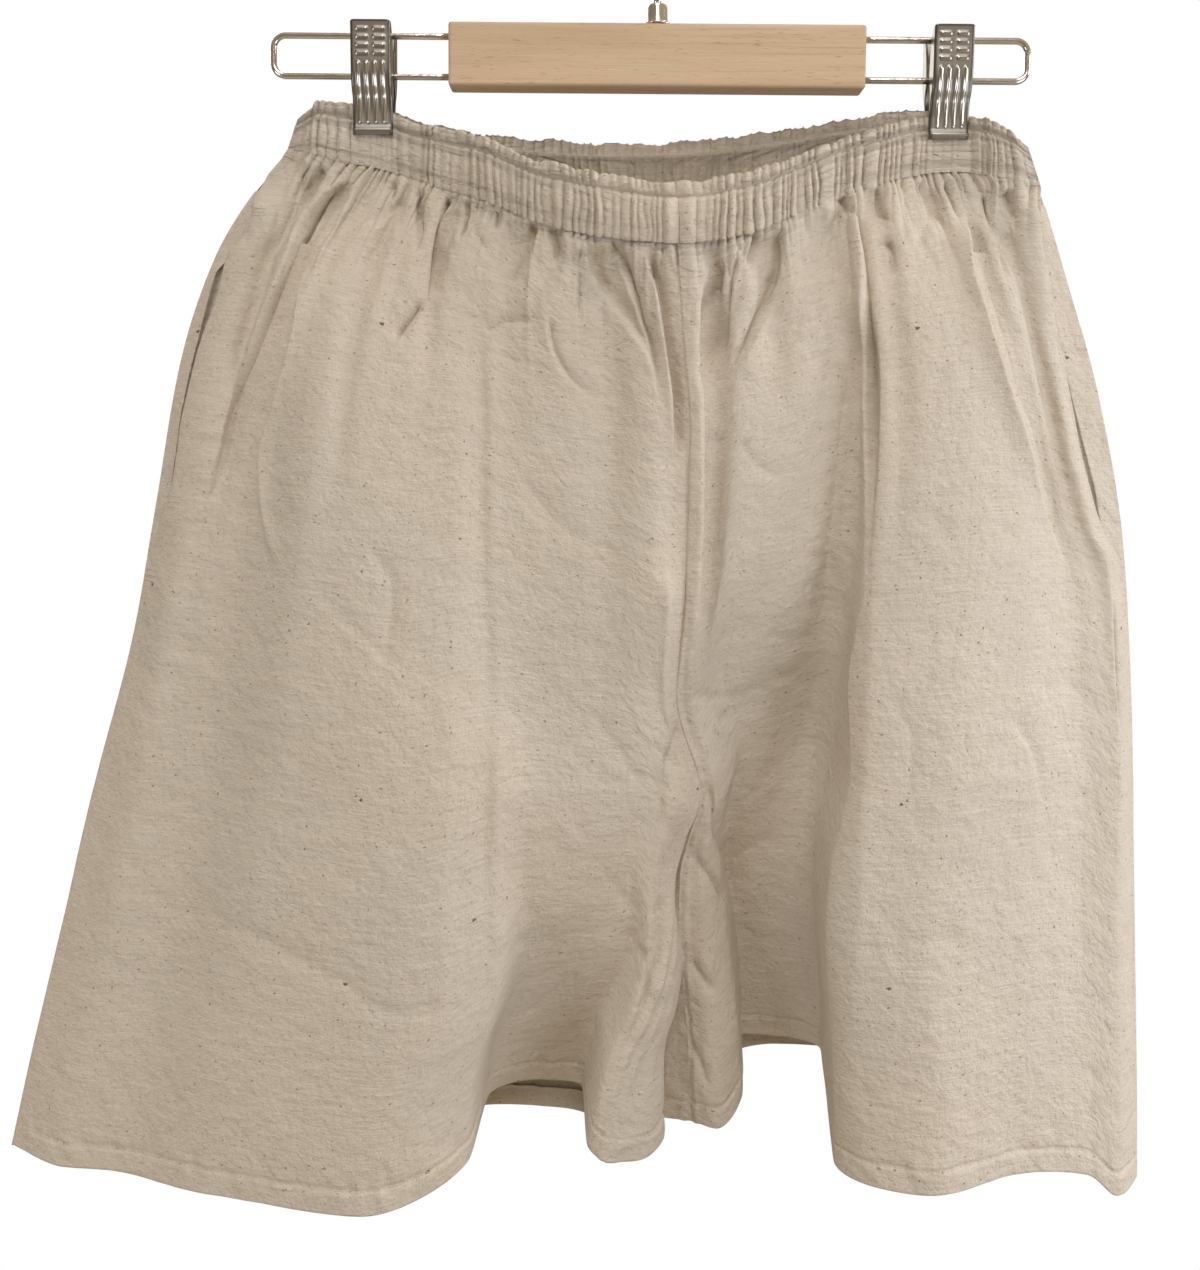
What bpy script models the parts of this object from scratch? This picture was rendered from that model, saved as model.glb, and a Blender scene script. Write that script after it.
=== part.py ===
"""Gathered natural-cloth shorts hanging from a wooden clip hanger.

Frame: +X to the right as seen from the front, +Y away from the viewer, +Z up. The
origin is the highest point inside the hook, where a rail carries the hanger.
Sizes are in millimetres in the tables and become metres in the meshes.
"""
import bpy

import math
import numpy as np
from mathutils import Matrix

MM = 0.001

# ---- driving sizes, mm ----------------------------------------------------------------
CLOTH_X = 3.0            # the waist hangs this far right of the hook's line
CLOTH_WALL = 1.3         # one layer of the cloth, with its nap
HEM_WALL = 2.2           # the turned-up hem
HEM_DEPTH = 12.0         # from the hem's edge to its stitching
BAND_WALL = 2.0          # casing with the elastic in it
SEAM_GAP = 0.3           # free gap between two pieces that are sewn together
HEADER = 0.27            # part of the band's height above the upper stitching
GATHERS = 76             # gathers round the front of the band, and as many behind
GATHER_WAVE = (1.25, 0.4, 1.25, 0.8)   # half wave: top edge, upper stitching, channel, seam
CHANNEL_SWELL = 2.2      # how far the elastic's channel stands proud
PANEL_COLUMNS = 26
PANEL_ROWS = 17          # spans: 5 in the pleats, 5 to the crotch, 6 on the leg, 1 hem
POCKET_WALL = 1.0
POCKET_STAND = 1.95      # from the panel's middle to the bag's
POCKET_SLACK = 9.0       # between the bag's two layers
PINCHED = 3.2            # between them where the bag is sewn shut
POCKET_COLUMNS = 9       # the bag reaches in to this line of the panel's grid
POCKET_FIRST_ROW = 2
POCKET_LAST_ROW = 8
CROTCH_ROW = 10          # the panels' row that passes through the crotch
CROTCH_Z = -467.0
HEM_SEAM_Z = -661.0

BAR_LENGTH = 208.5
BAR_HEIGHT = 31.0
BAR_DEPTH = 15.0
BAR_TOP_Z = -71.5
BAR_ROUND = 1.6
WIRE_RADIUS = 1.6
WIRE_TOP_Z = -76.8
WIRE_BOTTOM_Z = -96.7
WIRE_END_LEFT = -193.0
WIRE_END_RIGHT = 187.0
WIRE_CORNER = 4.5
CLIP_WIDTH = 20.0
CLIP_METAL = 1.0
CLIP_LEFT_X = -142.4
CLIP_RIGHT_X = 147.0
SPRING_LENGTH = 15.0
HOOK_WIRE = 1.9          # radius of the hook's wire
HOOK_RADIUS = 21.0       # inside of the hook
FERRULE_RADIUS = 5.7
WASHER_RADIUS = 7.2

# ---- the waistband: one row for each place along it -----------------------------------
# x, then depth, top edge and bottom seam of the front half, then of the back half.
BAND = np.array([
    # x,     front_y, front_top, front_seam, back_y, back_top, back_seam
    (-190.0,  -1.5, -118.0, -134.0,   1.5, -118.0, -134.0),
    (-183.0,  -4.6, -114.0, -134.5,   4.6, -113.5, -134.8),
    (-172.0,  -5.8, -110.5, -136.0,   5.6, -111.0, -137.0),
    (-164.0,  -4.2, -111.0, -138.0,   4.2, -110.5, -138.0),
    (-157.0,  -1.9, -111.2, -139.2,   1.9, -111.2, -139.0),
    (-134.0,  -1.9, -116.5, -144.0,   1.9, -114.5, -142.5),
    (-127.0,  -5.0, -119.5, -146.5,   3.6, -116.5, -144.5),
    (-111.0, -11.0, -124.0, -152.5,   6.5, -119.5, -147.5),
    (-90.0,  -17.0, -129.5, -159.0,   9.5, -122.3, -150.3),
    (-61.0,  -26.0, -143.0, -171.5,  14.0, -123.6, -151.6),
    (-31.0,  -32.5, -150.0, -179.0,  16.5, -124.6, -152.6),
    (7.0,    -35.5, -155.0, -182.5,  17.5, -123.6, -151.6),
    (41.0,   -31.5, -149.0, -177.0,  15.5, -120.9, -148.9),
    (66.0,   -24.0, -139.0, -166.0,  12.5, -117.5, -145.5),
    (87.0,   -16.0, -129.5, -156.0,   9.5, -114.4, -142.4),
    (108.0,   -9.5, -122.5, -148.5,   6.5, -112.0, -140.0),
    (126.0,   -5.0, -116.5, -143.5,   3.6, -110.5, -138.5),
    (133.0,   -1.9, -115.0, -142.0,   1.9, -110.5, -138.5),
    (155.0,   -1.9, -114.5, -141.0,   1.9, -113.0, -140.0),
    (162.0,   -4.4, -116.0, -142.3,   4.2, -114.8, -141.6),
    (171.0,   -5.8, -119.0, -144.0,   5.2, -118.0, -144.0),
    (184.0,   -4.4, -125.0, -145.0,   4.4, -124.0, -145.0),
    (192.0,   -1.5, -129.0, -145.5,   1.5, -129.0, -145.5)])

# ---- outline: one row for each height, v runs from the band's seam to the hem ----------
# left and right side seams, the centre seam above the crotch, the two inseams below it.
OUTLINE = np.array([
    # v,    left_x, right_x, left_seam_x, right_seam_x
    (0.00, -189.5, 191.5,   6.0,   6.0),
    (0.05, -211.0, 200.0,   8.0,   8.0),
    (0.10, -226.5, 208.5,   9.5,   9.5),
    (0.20, -245.0, 225.0,  13.5,  13.5),
    (0.35, -260.0, 241.5,  13.0,  13.0),
    (0.48, -273.0, 248.5,   9.5,   9.5),
    (0.61, -291.5, 253.0,  24.5,  24.5),
    (0.65, -297.5, 254.0,  17.0,  24.0),
    (0.70, -304.5, 255.5,  11.5,  20.0),
    (0.75, -311.0, 257.0,  11.0,  20.0),
    (0.80, -318.0, 258.5,   7.5,  21.5),
    (0.85, -325.0, 260.0,  -1.0,  23.0),
    (0.90, -332.0, 261.5, -13.0,  24.0),
    (1.00, -345.0, 264.0, -24.0,  26.0)])

# ---- sections: one row for each line that runs down the cloth --------------------------
# u numbers the line; s_* is its place between the panel's two edges at the band, seat,
# crotch and hem (0 and 1 are the edges); y_* its depth at hip, seat, crotch and hem;
# hem_z is the hem's height there.
# u, s_band, s_seat, s_crotch, s_hem, y_hip, y_seat, y_crotch, y_hem, hem_z
FRONT_LEFT = np.array([
    (0.00, 0.000, 0.000, 0.000, 0.000,   0.0,   0.0,   0.0,   0.0, -660.0),
    (0.10, 0.090, 0.095, 0.100, 0.110, -17.0, -20.0, -18.0, -17.0, -662.0),
    (0.20, 0.180, 0.180, 0.170, 0.190, -22.0, -20.0, -17.0, -20.0, -662.0),
    (0.38, 0.300, 0.330, 0.340, 0.380, -28.0, -40.0, -44.0, -44.0, -660.0),
    (0.55, 0.420, 0.480, 0.530, 0.620, -28.0, -43.0, -53.0, -58.0, -662.0),
    (0.70, 0.523, 0.600, 0.665, 0.780, -28.0, -39.0, -46.0, -38.0, -645.0),
    (0.76, 0.600, 0.670, 0.730, 0.800, -30.0, -34.0, -30.0,  20.0, -640.0),
    (0.83, 0.720, 0.780, 0.820, 0.880, -33.0, -36.0, -25.0,  37.0, -641.0),
    (0.90, 0.860, 0.880, 0.900, 0.958, -36.0, -39.0, -24.0,  28.0, -639.0),
    (0.95, 0.930, 0.935, 0.950, 0.972, -38.0, -40.0, -21.0,  -7.0, -655.0),
    (1.00, 1.000, 1.000, 1.000, 1.000, -36.0, -33.0,  -3.0, -12.0, HEM_SEAM_Z)])
FRONT_RIGHT = np.array([
    (0.00, 0.000, 0.000, 0.000, 0.000,   0.0,   0.0,   0.0,   0.0, -672.0),
    (0.09, 0.080, 0.060, 0.060, 0.070, -14.0, -16.0, -15.0, -16.0, -674.0),
    (0.18, 0.180, 0.140, 0.130, 0.150, -18.0, -16.0, -16.0, -20.0, -660.0),
    (0.30, 0.280, 0.280, 0.300, 0.320, -23.0, -32.0, -35.0, -30.0, -654.0),
    (0.44, 0.380, 0.440, 0.500, 0.520, -28.0, -41.0, -47.0, -48.0, -655.0),
    (0.58, 0.500, 0.600, 0.690, 0.704, -30.0, -38.0, -39.0, -24.0, -652.0),
    (0.63, 0.560, 0.650, 0.720, 0.684, -26.0, -27.0,  -4.0,  42.0, -625.0),
    (0.72, 0.700, 0.750, 0.810, 0.780, -30.0, -27.0,   8.0,  54.0, -622.0),
    (0.82, 0.830, 0.880, 0.900, 0.872, -34.0, -31.0,   6.0,  51.0, -620.0),
    (0.87, 0.890, 0.930, 0.935, 0.886, -36.0, -34.0,   2.0,  25.0, -644.0),
    (0.94, 0.950, 0.970, 0.970, 0.940, -38.0, -35.0,  -3.0,  23.0, -661.0),
    (1.00, 1.000, 1.000, 1.000, 1.000, -36.0, -33.0,  -3.0,  30.0, HEM_SEAM_Z)])
BACK_LEFT = np.array([
    (0.00, 0.000, 0.000, 0.000, 0.000,   0.0,   0.0,   0.0,   0.0, -660.0),
    (0.12, 0.100, 0.100, 0.100, 0.100,  11.0,  15.0,  17.0,  17.0, -662.0),
    (0.28, 0.270, 0.270, 0.270, 0.270,  15.0,  31.0,  38.0,  40.0, -664.0),
    (0.42, 0.420, 0.420, 0.430, 0.440,  17.0,  33.0,  38.0,  30.0, -666.0),
    (0.56, 0.570, 0.570, 0.590, 0.630,  19.0,  38.0,  48.0,  62.0, -672.0),
    (0.69, 0.710, 0.710, 0.740, 0.790,  20.0,  39.0,  49.0,  62.0, -670.0),
    (0.80, 0.830, 0.830, 0.870, 0.920,  20.0,  41.0,  45.0,  56.0, -668.0),
    (0.88, 0.910, 0.910, 0.905, 1.005,  20.0,  41.0,  31.0,  36.0, -664.0),
    (0.93, 0.950, 0.950, 0.952, 1.097,  20.0,  41.0,  19.0,   9.0, -657.0),
    (0.965, 0.975, 0.975, 0.970, 1.062, 20.0,  41.0,   9.0,  -6.0, -662.0),
    (1.00, 1.000, 1.000, 1.000, 1.000,  20.0,  41.0,  -3.0, -12.0, HEM_SEAM_Z)])
BACK_RIGHT = np.array([
    (0.00, 0.000, 0.000, 0.000, 0.000,   0.0,   0.0,   0.0,   0.0, -672.0),
    (0.12, 0.100, 0.100, 0.100, 0.100,  11.0,  14.0,  16.0,  16.0, -668.0),
    (0.28, 0.270, 0.270, 0.270, 0.270,  14.0,  28.0,  34.0,  30.0, -655.0),
    (0.42, 0.420, 0.420, 0.430, 0.430,  16.0,  32.0,  38.0,  46.0, -645.0),
    (0.56, 0.580, 0.580, 0.600, 0.600,  19.0,  37.0,  46.0,  68.0, -637.0),
    (0.70, 0.730, 0.730, 0.760, 0.780,  20.0,  38.0,  48.0,  70.0, -635.0),
    (0.81, 0.850, 0.850, 0.890, 0.920,  20.0,  40.0,  44.0,  66.0, -640.0),
    (0.90, 0.930, 0.930, 0.955, 1.030,  20.0,  41.0,  33.0,  56.0, -655.0),
    (0.955, 0.970, 0.970, 0.962, 1.078, 20.0,  41.0,  14.0,  42.0, -664.0),
    (1.00, 1.000, 1.000, 1.000, 1.000,  20.0,  41.0,  -3.0,  30.0, HEM_SEAM_Z)])

# ---- depth of the centre seams (above the crotch) and of the inseams (below it) ---------
CENTRE_SEAMS = np.array([
    # v,  front_y, back_y
    (0.14, -36.0, 20.0),
    (0.35, -33.0, 41.0),
    (0.48, -24.0, 33.0),
    (0.55, -14.0, 17.0),
    (0.61,  -3.0, -3.0)])
INSEAMS = np.array([
    # v,   left_y, right_y
    (0.61,  -3.0,  -3.0),
    (0.72,  -5.0,   6.0),
    (0.86,  -8.5,  20.0),
    (1.00, -12.0,  30.0)])

# ---- pleats that run down from the band's seam ------------------------------------------
# line u, half width in u, end v, depth at the band (a negative depth stands forward).
PLEATS_FRONT_LEFT = np.array([
    (0.115, 0.030, 0.70, 8.0), (0.231, 0.028, 0.24, 6.0), (0.308, 0.026, 0.18, 4.5),
    (0.423, 0.026, 0.40, 7.0), (0.500, 0.026, 0.18, 4.5), (0.615, 0.028, 0.26, 5.5),
    (0.769, 0.028, 0.34, 6.0), (0.885, 0.026, 0.62, 8.0)])
PLEATS_FRONT_RIGHT = np.array([
    (0.115, 0.030, 0.62, 6.0), (0.231, 0.028, 0.20, 5.0), (0.346, 0.026, 0.18, 4.5),
    (0.423, 0.026, 0.14, 4.0), (0.538, 0.026, 0.50, 5.0), (0.654, 0.028, 0.30, 6.0),
    (0.769, 0.028, 0.30, 6.0), (0.885, 0.026, 0.70, 8.0)])
PLEATS_BACK = np.array([
    (0.115, 0.028, 0.34, 3.0), (0.231, 0.028, 0.20, 5.0), (0.308, 0.026, 0.30, 5.5),
    (0.423, 0.026, 0.18, 4.5), (0.538, 0.028, 0.42, 6.5), (0.654, 0.026, 0.18, 4.5),
    (0.769, 0.028, 0.34, 6.0), (0.885, 0.026, 0.24, 5.0)])

# ---- in-seam pockets: height from and to, how far the front edge stands in and forward ---
POCKETS = {
    "left":  dict(top=-160.0, bottom=-314.0, inset=12.5, forward=11.0),
    "right": dict(top=-152.0, bottom=-328.0, inset=17.0, forward=12.0)}


def clean_scene():
    for obj in list(bpy.data.objects):
        bpy.data.objects.remove(obj, do_unlink=True)


def smooth_curve(xs, ys, x):
    """Monotone cubic through the points (xs, ys), read at x."""
    xs = np.asarray(xs, float)
    ys = np.asarray(ys, float)
    x = np.clip(np.asarray(x, float), xs[0], xs[-1])
    h = np.diff(xs)
    d = np.diff(ys) / h
    m = np.zeros_like(ys)
    m[0] = d[0]
    m[-1] = d[-1]
    for i in range(1, len(ys) - 1):
        if d[i - 1] * d[i] > 0:
            w1 = 2 * h[i] + h[i - 1]
            w2 = h[i] + 2 * h[i - 1]
            m[i] = (w1 + w2) / (w1 / d[i - 1] + w2 / d[i])
    k = np.clip(np.searchsorted(xs, x) - 1, 0, len(h) - 1)
    t = (x - xs[k]) / h[k]
    return ((2 * t**3 - 3 * t**2 + 1) * ys[k] + (t**3 - 2 * t**2 + t) * h[k] * m[k]
            + (3 * t**2 - 2 * t**3) * ys[k + 1] + (t**3 - t**2) * h[k] * m[k + 1])


def ease(t):
    t = np.clip(t, 0.0, 1.0)
    return t * t * (3 - 2 * t)


def material(name, colour, roughness, metallic=0.0):
    mat = bpy.data.materials.new(name)
    mat.use_nodes = True
    shader = mat.node_tree.nodes["Principled BSDF"]
    shader.inputs["Base Color"].default_value = (*colour, 1.0)
    shader.inputs["Roughness"].default_value = roughness
    shader.inputs["Metallic"].default_value = metallic
    return mat


def finish(obj, mat, parent=None):
    obj.data.materials.append(mat)
    for other in list(obj.users_collection):
        other.objects.unlink(obj)
    PARTS.objects.link(obj)
    obj.parent = parent
    return obj


def sheet(name, points, wall, mat, thick_rows=0, thick=None, parent=None):
    """An open grid of points (rows, columns, xyz in mm) made into a wall of cloth."""
    rows, cols = points.shape[:2]
    mesh = bpy.data.meshes.new(name)
    index = np.arange(rows * cols).reshape(rows, cols)
    a, b = index[:-1, :-1].ravel(), index[:-1, 1:].ravel()
    c, d = index[1:, 1:].ravel(), index[1:, :-1].ravel()
    faces = np.stack([a, d, c, b], axis=1)
    mesh.from_pydata((points.reshape(-1, 3) * MM).tolist(), [], faces.tolist())
    mesh.update()
    mesh.shade_smooth()
    obj = bpy.data.objects.new(name, mesh)
    solid = obj.modifiers.new("wall", "SOLIDIFY")
    solid.thickness = (thick or wall) * MM
    solid.offset = 0.0
    if thick_rows:
        group = obj.vertex_groups.new(name="hem")
        group.add(index[-thick_rows:].ravel().tolist(), 1.0, "REPLACE")
        solid.vertex_group = "hem"
        solid.thickness_vertex_group = wall / thick
    bpy.context.scene.collection.objects.link(obj)
    return finish(obj, mat, parent)


def band_at(x, column):
    return smooth_curve(BAND[:, 0], BAND[:, column], x)


def band_half(name, columns, side, mat, parent):
    """Half of the gathered casing; side is -1 for the front and 1 for the back."""
    count = 2 * GATHERS + 1
    run = np.linspace(0.0, 1.0, count)
    x = BAND[0, 0] + (BAND[-1, 0] - BAND[0, 0]) * (run + 0.0011 * np.sin(61 * run) * np.sin(9 * run))
    depth, top, seam = (band_at(x, c) for c in columns)
    pressed = 1.0 - 0.62 * (np.exp(-((x + 145.4) / 13.0)**4) + np.exp(-((x - 144.0) / 13.0)**4))
    ends = ease((x - x[0]) / 14.0) * ease((x[-1] - x) / 14.0)
    wave = np.where(np.arange(count) % 2 == 0, 1.0, -1.0) * (1.0 + 0.3 * np.sin(79 * run + side))
    heights = (0.0, HEADER, 0.62, 1.0)
    rows = []
    for place, half in zip(heights, GATHER_WAVE):
        swell = CHANNEL_SWELL * math.sin(math.pi * max(0.0, place - HEADER) / (1 - HEADER))
        y = depth + side * swell * pressed * ends + half * wave * pressed * ends
        drawn = x * (1.0 - 0.032 * (1.0 - place) * np.abs(x / x[-1])**8)
        drop = (0.8 * np.sin(29 * run + side) * ends if place == 0.0 else 0.0)
        z = top + (seam - top) * place + drop
        rows.append(np.stack([drawn, y, z], axis=1))
    grid = np.array(rows)
    if side > 0:
        grid = grid[:, ::-1]
    return sheet(name, grid, BAND_WALL, mat, parent=parent)


def pocket_pull(z, pocket):
    """0 off the pocket, up to 1 along its mouth."""
    t = (pocket["top"] - z) / (pocket["top"] - pocket["bottom"])
    inside = (t > 0) & (t < 1)
    return np.where(inside, ease(np.clip(t, 0, 1) / 0.22) * ease((1 - np.clip(t, 0, 1)) / 0.45), 0.0)


def panel_points(lines, side, leg, pleats, pocket):
    """Middle surface of one panel; side is -1 front, 1 back; leg is 'left' or 'right'."""
    front = side < 0
    u = np.linspace(0.0, 1.0, PANEL_COLUMNS + 1)
    crotch_v = (CROTCH_Z - (BAND_SEAM_FRONT if front else BAND_SEAM_BACK))
    crotch_v /= HEM_SEAM_Z - (BAND_SEAM_FRONT if front else BAND_SEAM_BACK)
    hem_row = 1.0 - HEM_DEPTH / 480.0
    v = np.concatenate([np.linspace(0.0, 0.20, 6), np.linspace(0.20, crotch_v, 6)[1:],
                        np.linspace(crotch_v, hem_row, 7)[1:], [1.0]])
    warp = np.where(v < crotch_v, v / crotch_v * 0.61, 0.61 + (v - crotch_v) / (1 - crotch_v) * 0.39)
    left = leg == "left"
    edge = smooth_curve(OUTLINE[:, 0], OUTLINE[:, 1 if left else 2], warp)
    seam = smooth_curve(OUTLINE[:, 0], OUTLINE[:, 3 if left else 4], warp)
    place = [smooth_curve(lines[:, 0], lines[:, k], u) for k in (1, 2, 3, 4)]
    depth = [smooth_curve(lines[:, 0], lines[:, k], u) for k in (5, 6, 7, 8)]
    hem_z = smooth_curve(lines[:, 0], lines[:, 9], u)
    rows = []
    for j in range(len(v)):
        level = warp[j]
        flare = level if level < 0.61 else 0.61 + 0.39 * ((level - 0.61) / 0.39)**(0.7 if left else 0.35)
        s = np.array([smooth_curve((0.0, 0.35, 0.61, 1.0), [p[i] for p in place], flare)
                      for i in range(len(u))])
        x = edge[j] + s * (seam[j] - edge[j])
        x_band = BAND_EDGE[leg] + place[0] * (OUTLINE[0, 3] - BAND_EDGE[leg])
        y_band = band_at(x_band, 1 if front else 4)
        z_band = band_at(x_band, 3 if front else 6) - SEAM_GAP - 0.3
        y = np.array([smooth_curve((0.0, 0.14, 0.35, 0.61, 1.0), [y_band[i]] + [d[i] for d in depth],
                                   level) for i in range(len(u))])
        if level < 0.61:
            edge_y = smooth_curve((0.0, *CENTRE_SEAMS[:, 0]),
                                  (y_band[-1], *CENTRE_SEAMS[:, 1 if front else 2]), level)
        else:
            edge_y = smooth_curve(INSEAMS[:, 0], INSEAMS[:, 1 if left else 2], level)
        y[-1] = edge_y
        for line, width, end, amount in pleats:
            fade = (1 - ease(v[j] / end)) * ease(v[j] / 0.03)
            y = y - side * amount * fade * np.exp(-((u - line) / width)**2)
        z = z_band + (hem_z - z_band) * v[j]
        if front:
            pull = pocket_pull(z, pocket)
            inward = 1.0 if left else -1.0
            x = x + inward * pocket["inset"] * pull * (1 - ease(u / 0.34))
            y = y - pocket["forward"] * pull * (1 - ease(u / 0.12))
        rows.append(np.stack([x, y, z], axis=1))
    return np.array(rows)


def part_seam(one, other, end_one, end_other, first, last):
    """Draw two sewn edges back until their walls clear each other by the seam's gap."""
    step_one = 1 if end_one == 0 else -1
    step_other = 1 if end_other == 0 else -1
    for j in range(first, last):
        if np.hypot(*(one[j, end_one, :2] - other[j, end_other, :2])) > 1.0:
            continue
        wall = HEM_WALL if j >= len(one) - 2 else CLOTH_WALL
        away_one = one[j, end_one + step_one, :2] - one[j, end_one, :2]
        away_other = other[j, end_other + step_other, :2] - other[j, end_other, :2]
        away_one = away_one / np.hypot(*away_one)
        away_other = away_other / np.hypot(*away_other)
        half_angle = math.acos(max(-1.0, min(1.0, float(away_one @ away_other)))) / 2
        back_off = SEAM_GAP / 2 + 0.05 + wall / 2 / max(math.tan(half_angle), 0.28)
        one[j, end_one, :2] += away_one * back_off
        other[j, end_other, :2] += away_other * back_off


def beside(grid, row, column, gap, toward):
    """Point of a panel moved gap away from it, to the inside of the garment."""
    left, right = grid[row, max(column - 1, 0)], grid[row, column + 1]
    over, under = grid[row - 1, column], grid[row + 1, column]
    normal = np.cross(right - left, under - over)
    normal = normal / np.linalg.norm(normal)
    if normal[1] * toward < 0:
        normal = -normal
    return grid[row, column] + normal * gap


def pocket_bag(name, front, back, leg, mat, parent):
    """The pocket's bag: from the mouth's front edge inward, round, and back to its rear edge."""
    inward = np.array([1.0 if leg == "left" else -1.0, 0.0, 0.0])
    rows = []
    for row in range(POCKET_FIRST_ROW, POCKET_LAST_ROW + 1):
        line = [beside(front, row, i, POCKET_STAND, 1) for i in range(1, POCKET_COLUMNS + 1)]
        fill = (1.0, 1.0, 1.0, 1.0, 0.9, 0.6, 0.0)[row - POCKET_FIRST_ROW]
        slack = np.array([0.0, PINCHED + (POCKET_SLACK - PINCHED) * fill, 0.0])
        rear_edge = beside(back, row, 1, POCKET_STAND, -1)
        rear_hip = beside(back, row, 3, POCKET_STAND, -1)
        rear_edge[2] = line[0][2]
        rear_hip[2] = line[2][2]
        shut_edge = line[0] + np.array([0.0, PINCHED, 0.0])
        shut_hip = line[2] + np.array([0.0, PINCHED, 0.0])
        hip = rear_hip * 0.35 + (line[2] + slack) * 0.65
        line.append(line[-1] + inward * 1.8 + slack / 2)
        line.append(line[-2] + slack)
        line.append(line[5] + slack * (1.0 + 0.3 * fill))
        line.append(hip * fill + shut_hip * (1 - fill))
        line.append(rear_edge * fill + shut_edge * (1 - fill))
        rows.append(line)
    grid = np.array(rows)
    if leg == "right":
        grid = grid[:, ::-1]
    return sheet(name, grid, POCKET_WALL, mat, parent=parent)


def ring_wire(name, points, radius, mat, parent=None, resolution=2):
    """A wire along the given points in mm, capped at both ends."""
    curve = bpy.data.curves.new(name, "CURVE")
    curve.dimensions = "3D"
    spline = curve.splines.new("POLY")
    spline.points.add(len(points) - 1)
    for spot, (x, y, z) in zip(spline.points, points):
        spot.co = (x * MM, y * MM, z * MM, 1.0)
    curve.bevel_depth = radius * MM
    curve.bevel_resolution = resolution
    curve.use_fill_caps = True
    obj = bpy.data.objects.new(name, curve)
    bpy.context.scene.collection.objects.link(obj)
    return finish(obj, mat, parent)


def arc(cx, cz, radius, start, end, steps, y=0.0):
    angles = np.radians(np.linspace(start, end, steps))
    return [(cx + radius * math.cos(a), y, cz + radius * math.sin(a)) for a in angles]


def wire_loop(name, end_x, bar_x, mat):
    """The loop that leaves one end of the bar and comes back to it."""
    turn = WIRE_CORNER + WIRE_RADIUS
    sign = 1.0 if end_x > 0 else -1.0
    corner_x = end_x - sign * turn
    top = arc(corner_x, WIRE_TOP_Z - turn, turn, 90, 0 if sign > 0 else 180, 5)
    low = arc(corner_x, WIRE_BOTTOM_Z + turn, turn, 0 if sign > 0 else -180, -90, 5)
    points = [(bar_x + sign * SEAM_GAP, 0.0, WIRE_TOP_Z)] + top + low
    points += [(bar_x + sign * SEAM_GAP, 0.0, WIRE_BOTTOM_Z)]
    return ring_wire(name, points, WIRE_RADIUS, mat)


def clip_jaw(name, centre_x, side, mat):
    """A pressed-metal channel: the plate faces out, its two flanges turn in to the wire."""
    table = np.array([
        # z, plate depth, flange depth
        (-72.5, 12.0, 9.0), (-78.0, 11.6, 5.6), (-86.0, 11.4, 3.4), (-96.7, 11.0, 2.4),
        (-103.0, 9.4, 4.8), (-109.0, 6.4, 5.5), (-117.0, 5.35, 4.6), (-126.5, 5.3, 4.6)])
    half = CLIP_WIDTH / 2 - CLIP_METAL / 2
    rows = []
    for z, plate, flange in table:
        shape = [(-half, flange), (-half, plate - 0.35), (-half + 0.5, plate), (-half / 3, plate),
                 (half / 3, plate), (half - 0.5, plate), (half, plate - 0.35), (half, flange)]
        rows.append([(centre_x + x * -side, side * y, z) for x, y in shape])
    return sheet(name, np.array(rows), CLIP_METAL, mat)


def turned(name, profile, mat, steps=24, location=(0.0, 0.0, 0.0), axis="Z"):
    """A turned piece from an (x, z) profile in mm that runs down its outer side."""
    mesh = bpy.data.meshes.new(name)
    verts = [(x * MM, 0.0, z * MM) for x, z in profile]
    edges = [(i, (i + 1) % len(profile)) for i in range(len(profile))]
    mesh.from_pydata(verts, edges, [])
    obj = bpy.data.objects.new(name, mesh)
    screw = obj.modifiers.new("turn", "SCREW")
    screw.steps = steps
    screw.render_steps = steps
    screw.use_merge_vertices = True
    screw.merge_threshold = 0.00001
    obj.location = [c * MM for c in location]
    if axis == "X":
        obj.rotation_euler = (0.0, math.pi / 2, 0.0)
    bpy.context.scene.collection.objects.link(obj)
    return finish(obj, mat)


clean_scene()
PARTS = bpy.data.collections.new("shorts_on_clip_hanger")
bpy.context.scene.collection.children.link(PARTS)

cloth = material("natural_cloth", (0.62, 0.52, 0.42), 0.9)
wood = material("pale_wood", (0.66, 0.44, 0.25), 0.5)
chrome = material("chromed_steel", (0.72, 0.72, 0.74), 0.18, 1.0)

hanging = bpy.data.objects.new("waist_middle", None)
hanging.location = (CLOTH_X * MM, 0.0, 0.0)
PARTS.objects.link(hanging)

BAND_SEAM_FRONT = float(band_at(6.0, 3))
BAND_SEAM_BACK = float(band_at(6.0, 6))
BAND_EDGE = {"left": BAND[0, 0] + 0.5, "right": BAND[-1, 0] - 0.5}

band_half("waistband_front", (1, 2, 3), -1, cloth, hanging)
band_half("waistband_back", (4, 5, 6), 1, cloth, hanging)

PANELS = (
    ("front_left", FRONT_LEFT, -1, "left", PLEATS_FRONT_LEFT),
    ("front_right", FRONT_RIGHT, -1, "right", PLEATS_FRONT_RIGHT),
    ("back_left", BACK_LEFT, 1, "left", PLEATS_BACK),
    ("back_right", BACK_RIGHT, 1, "right", PLEATS_BACK))
surfaces = {}
for panel_name, lines, side, leg, pleats in PANELS:
    surfaces[panel_name] = panel_points(lines, side, leg, pleats, POCKETS[leg])
rows_in_all = PANEL_ROWS + 1
part_seam(surfaces["front_left"], surfaces["front_right"], -1, -1, 0, CROTCH_ROW + 1)
part_seam(surfaces["back_left"], surfaces["back_right"], -1, -1, 0, CROTCH_ROW + 1)
for leg in ("left", "right"):
    part_seam(surfaces["front_" + leg], surfaces["back_" + leg], -1, -1, CROTCH_ROW, rows_in_all)
    part_seam(surfaces["front_" + leg], surfaces["back_" + leg], 0, 0, 0, rows_in_all)
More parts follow.
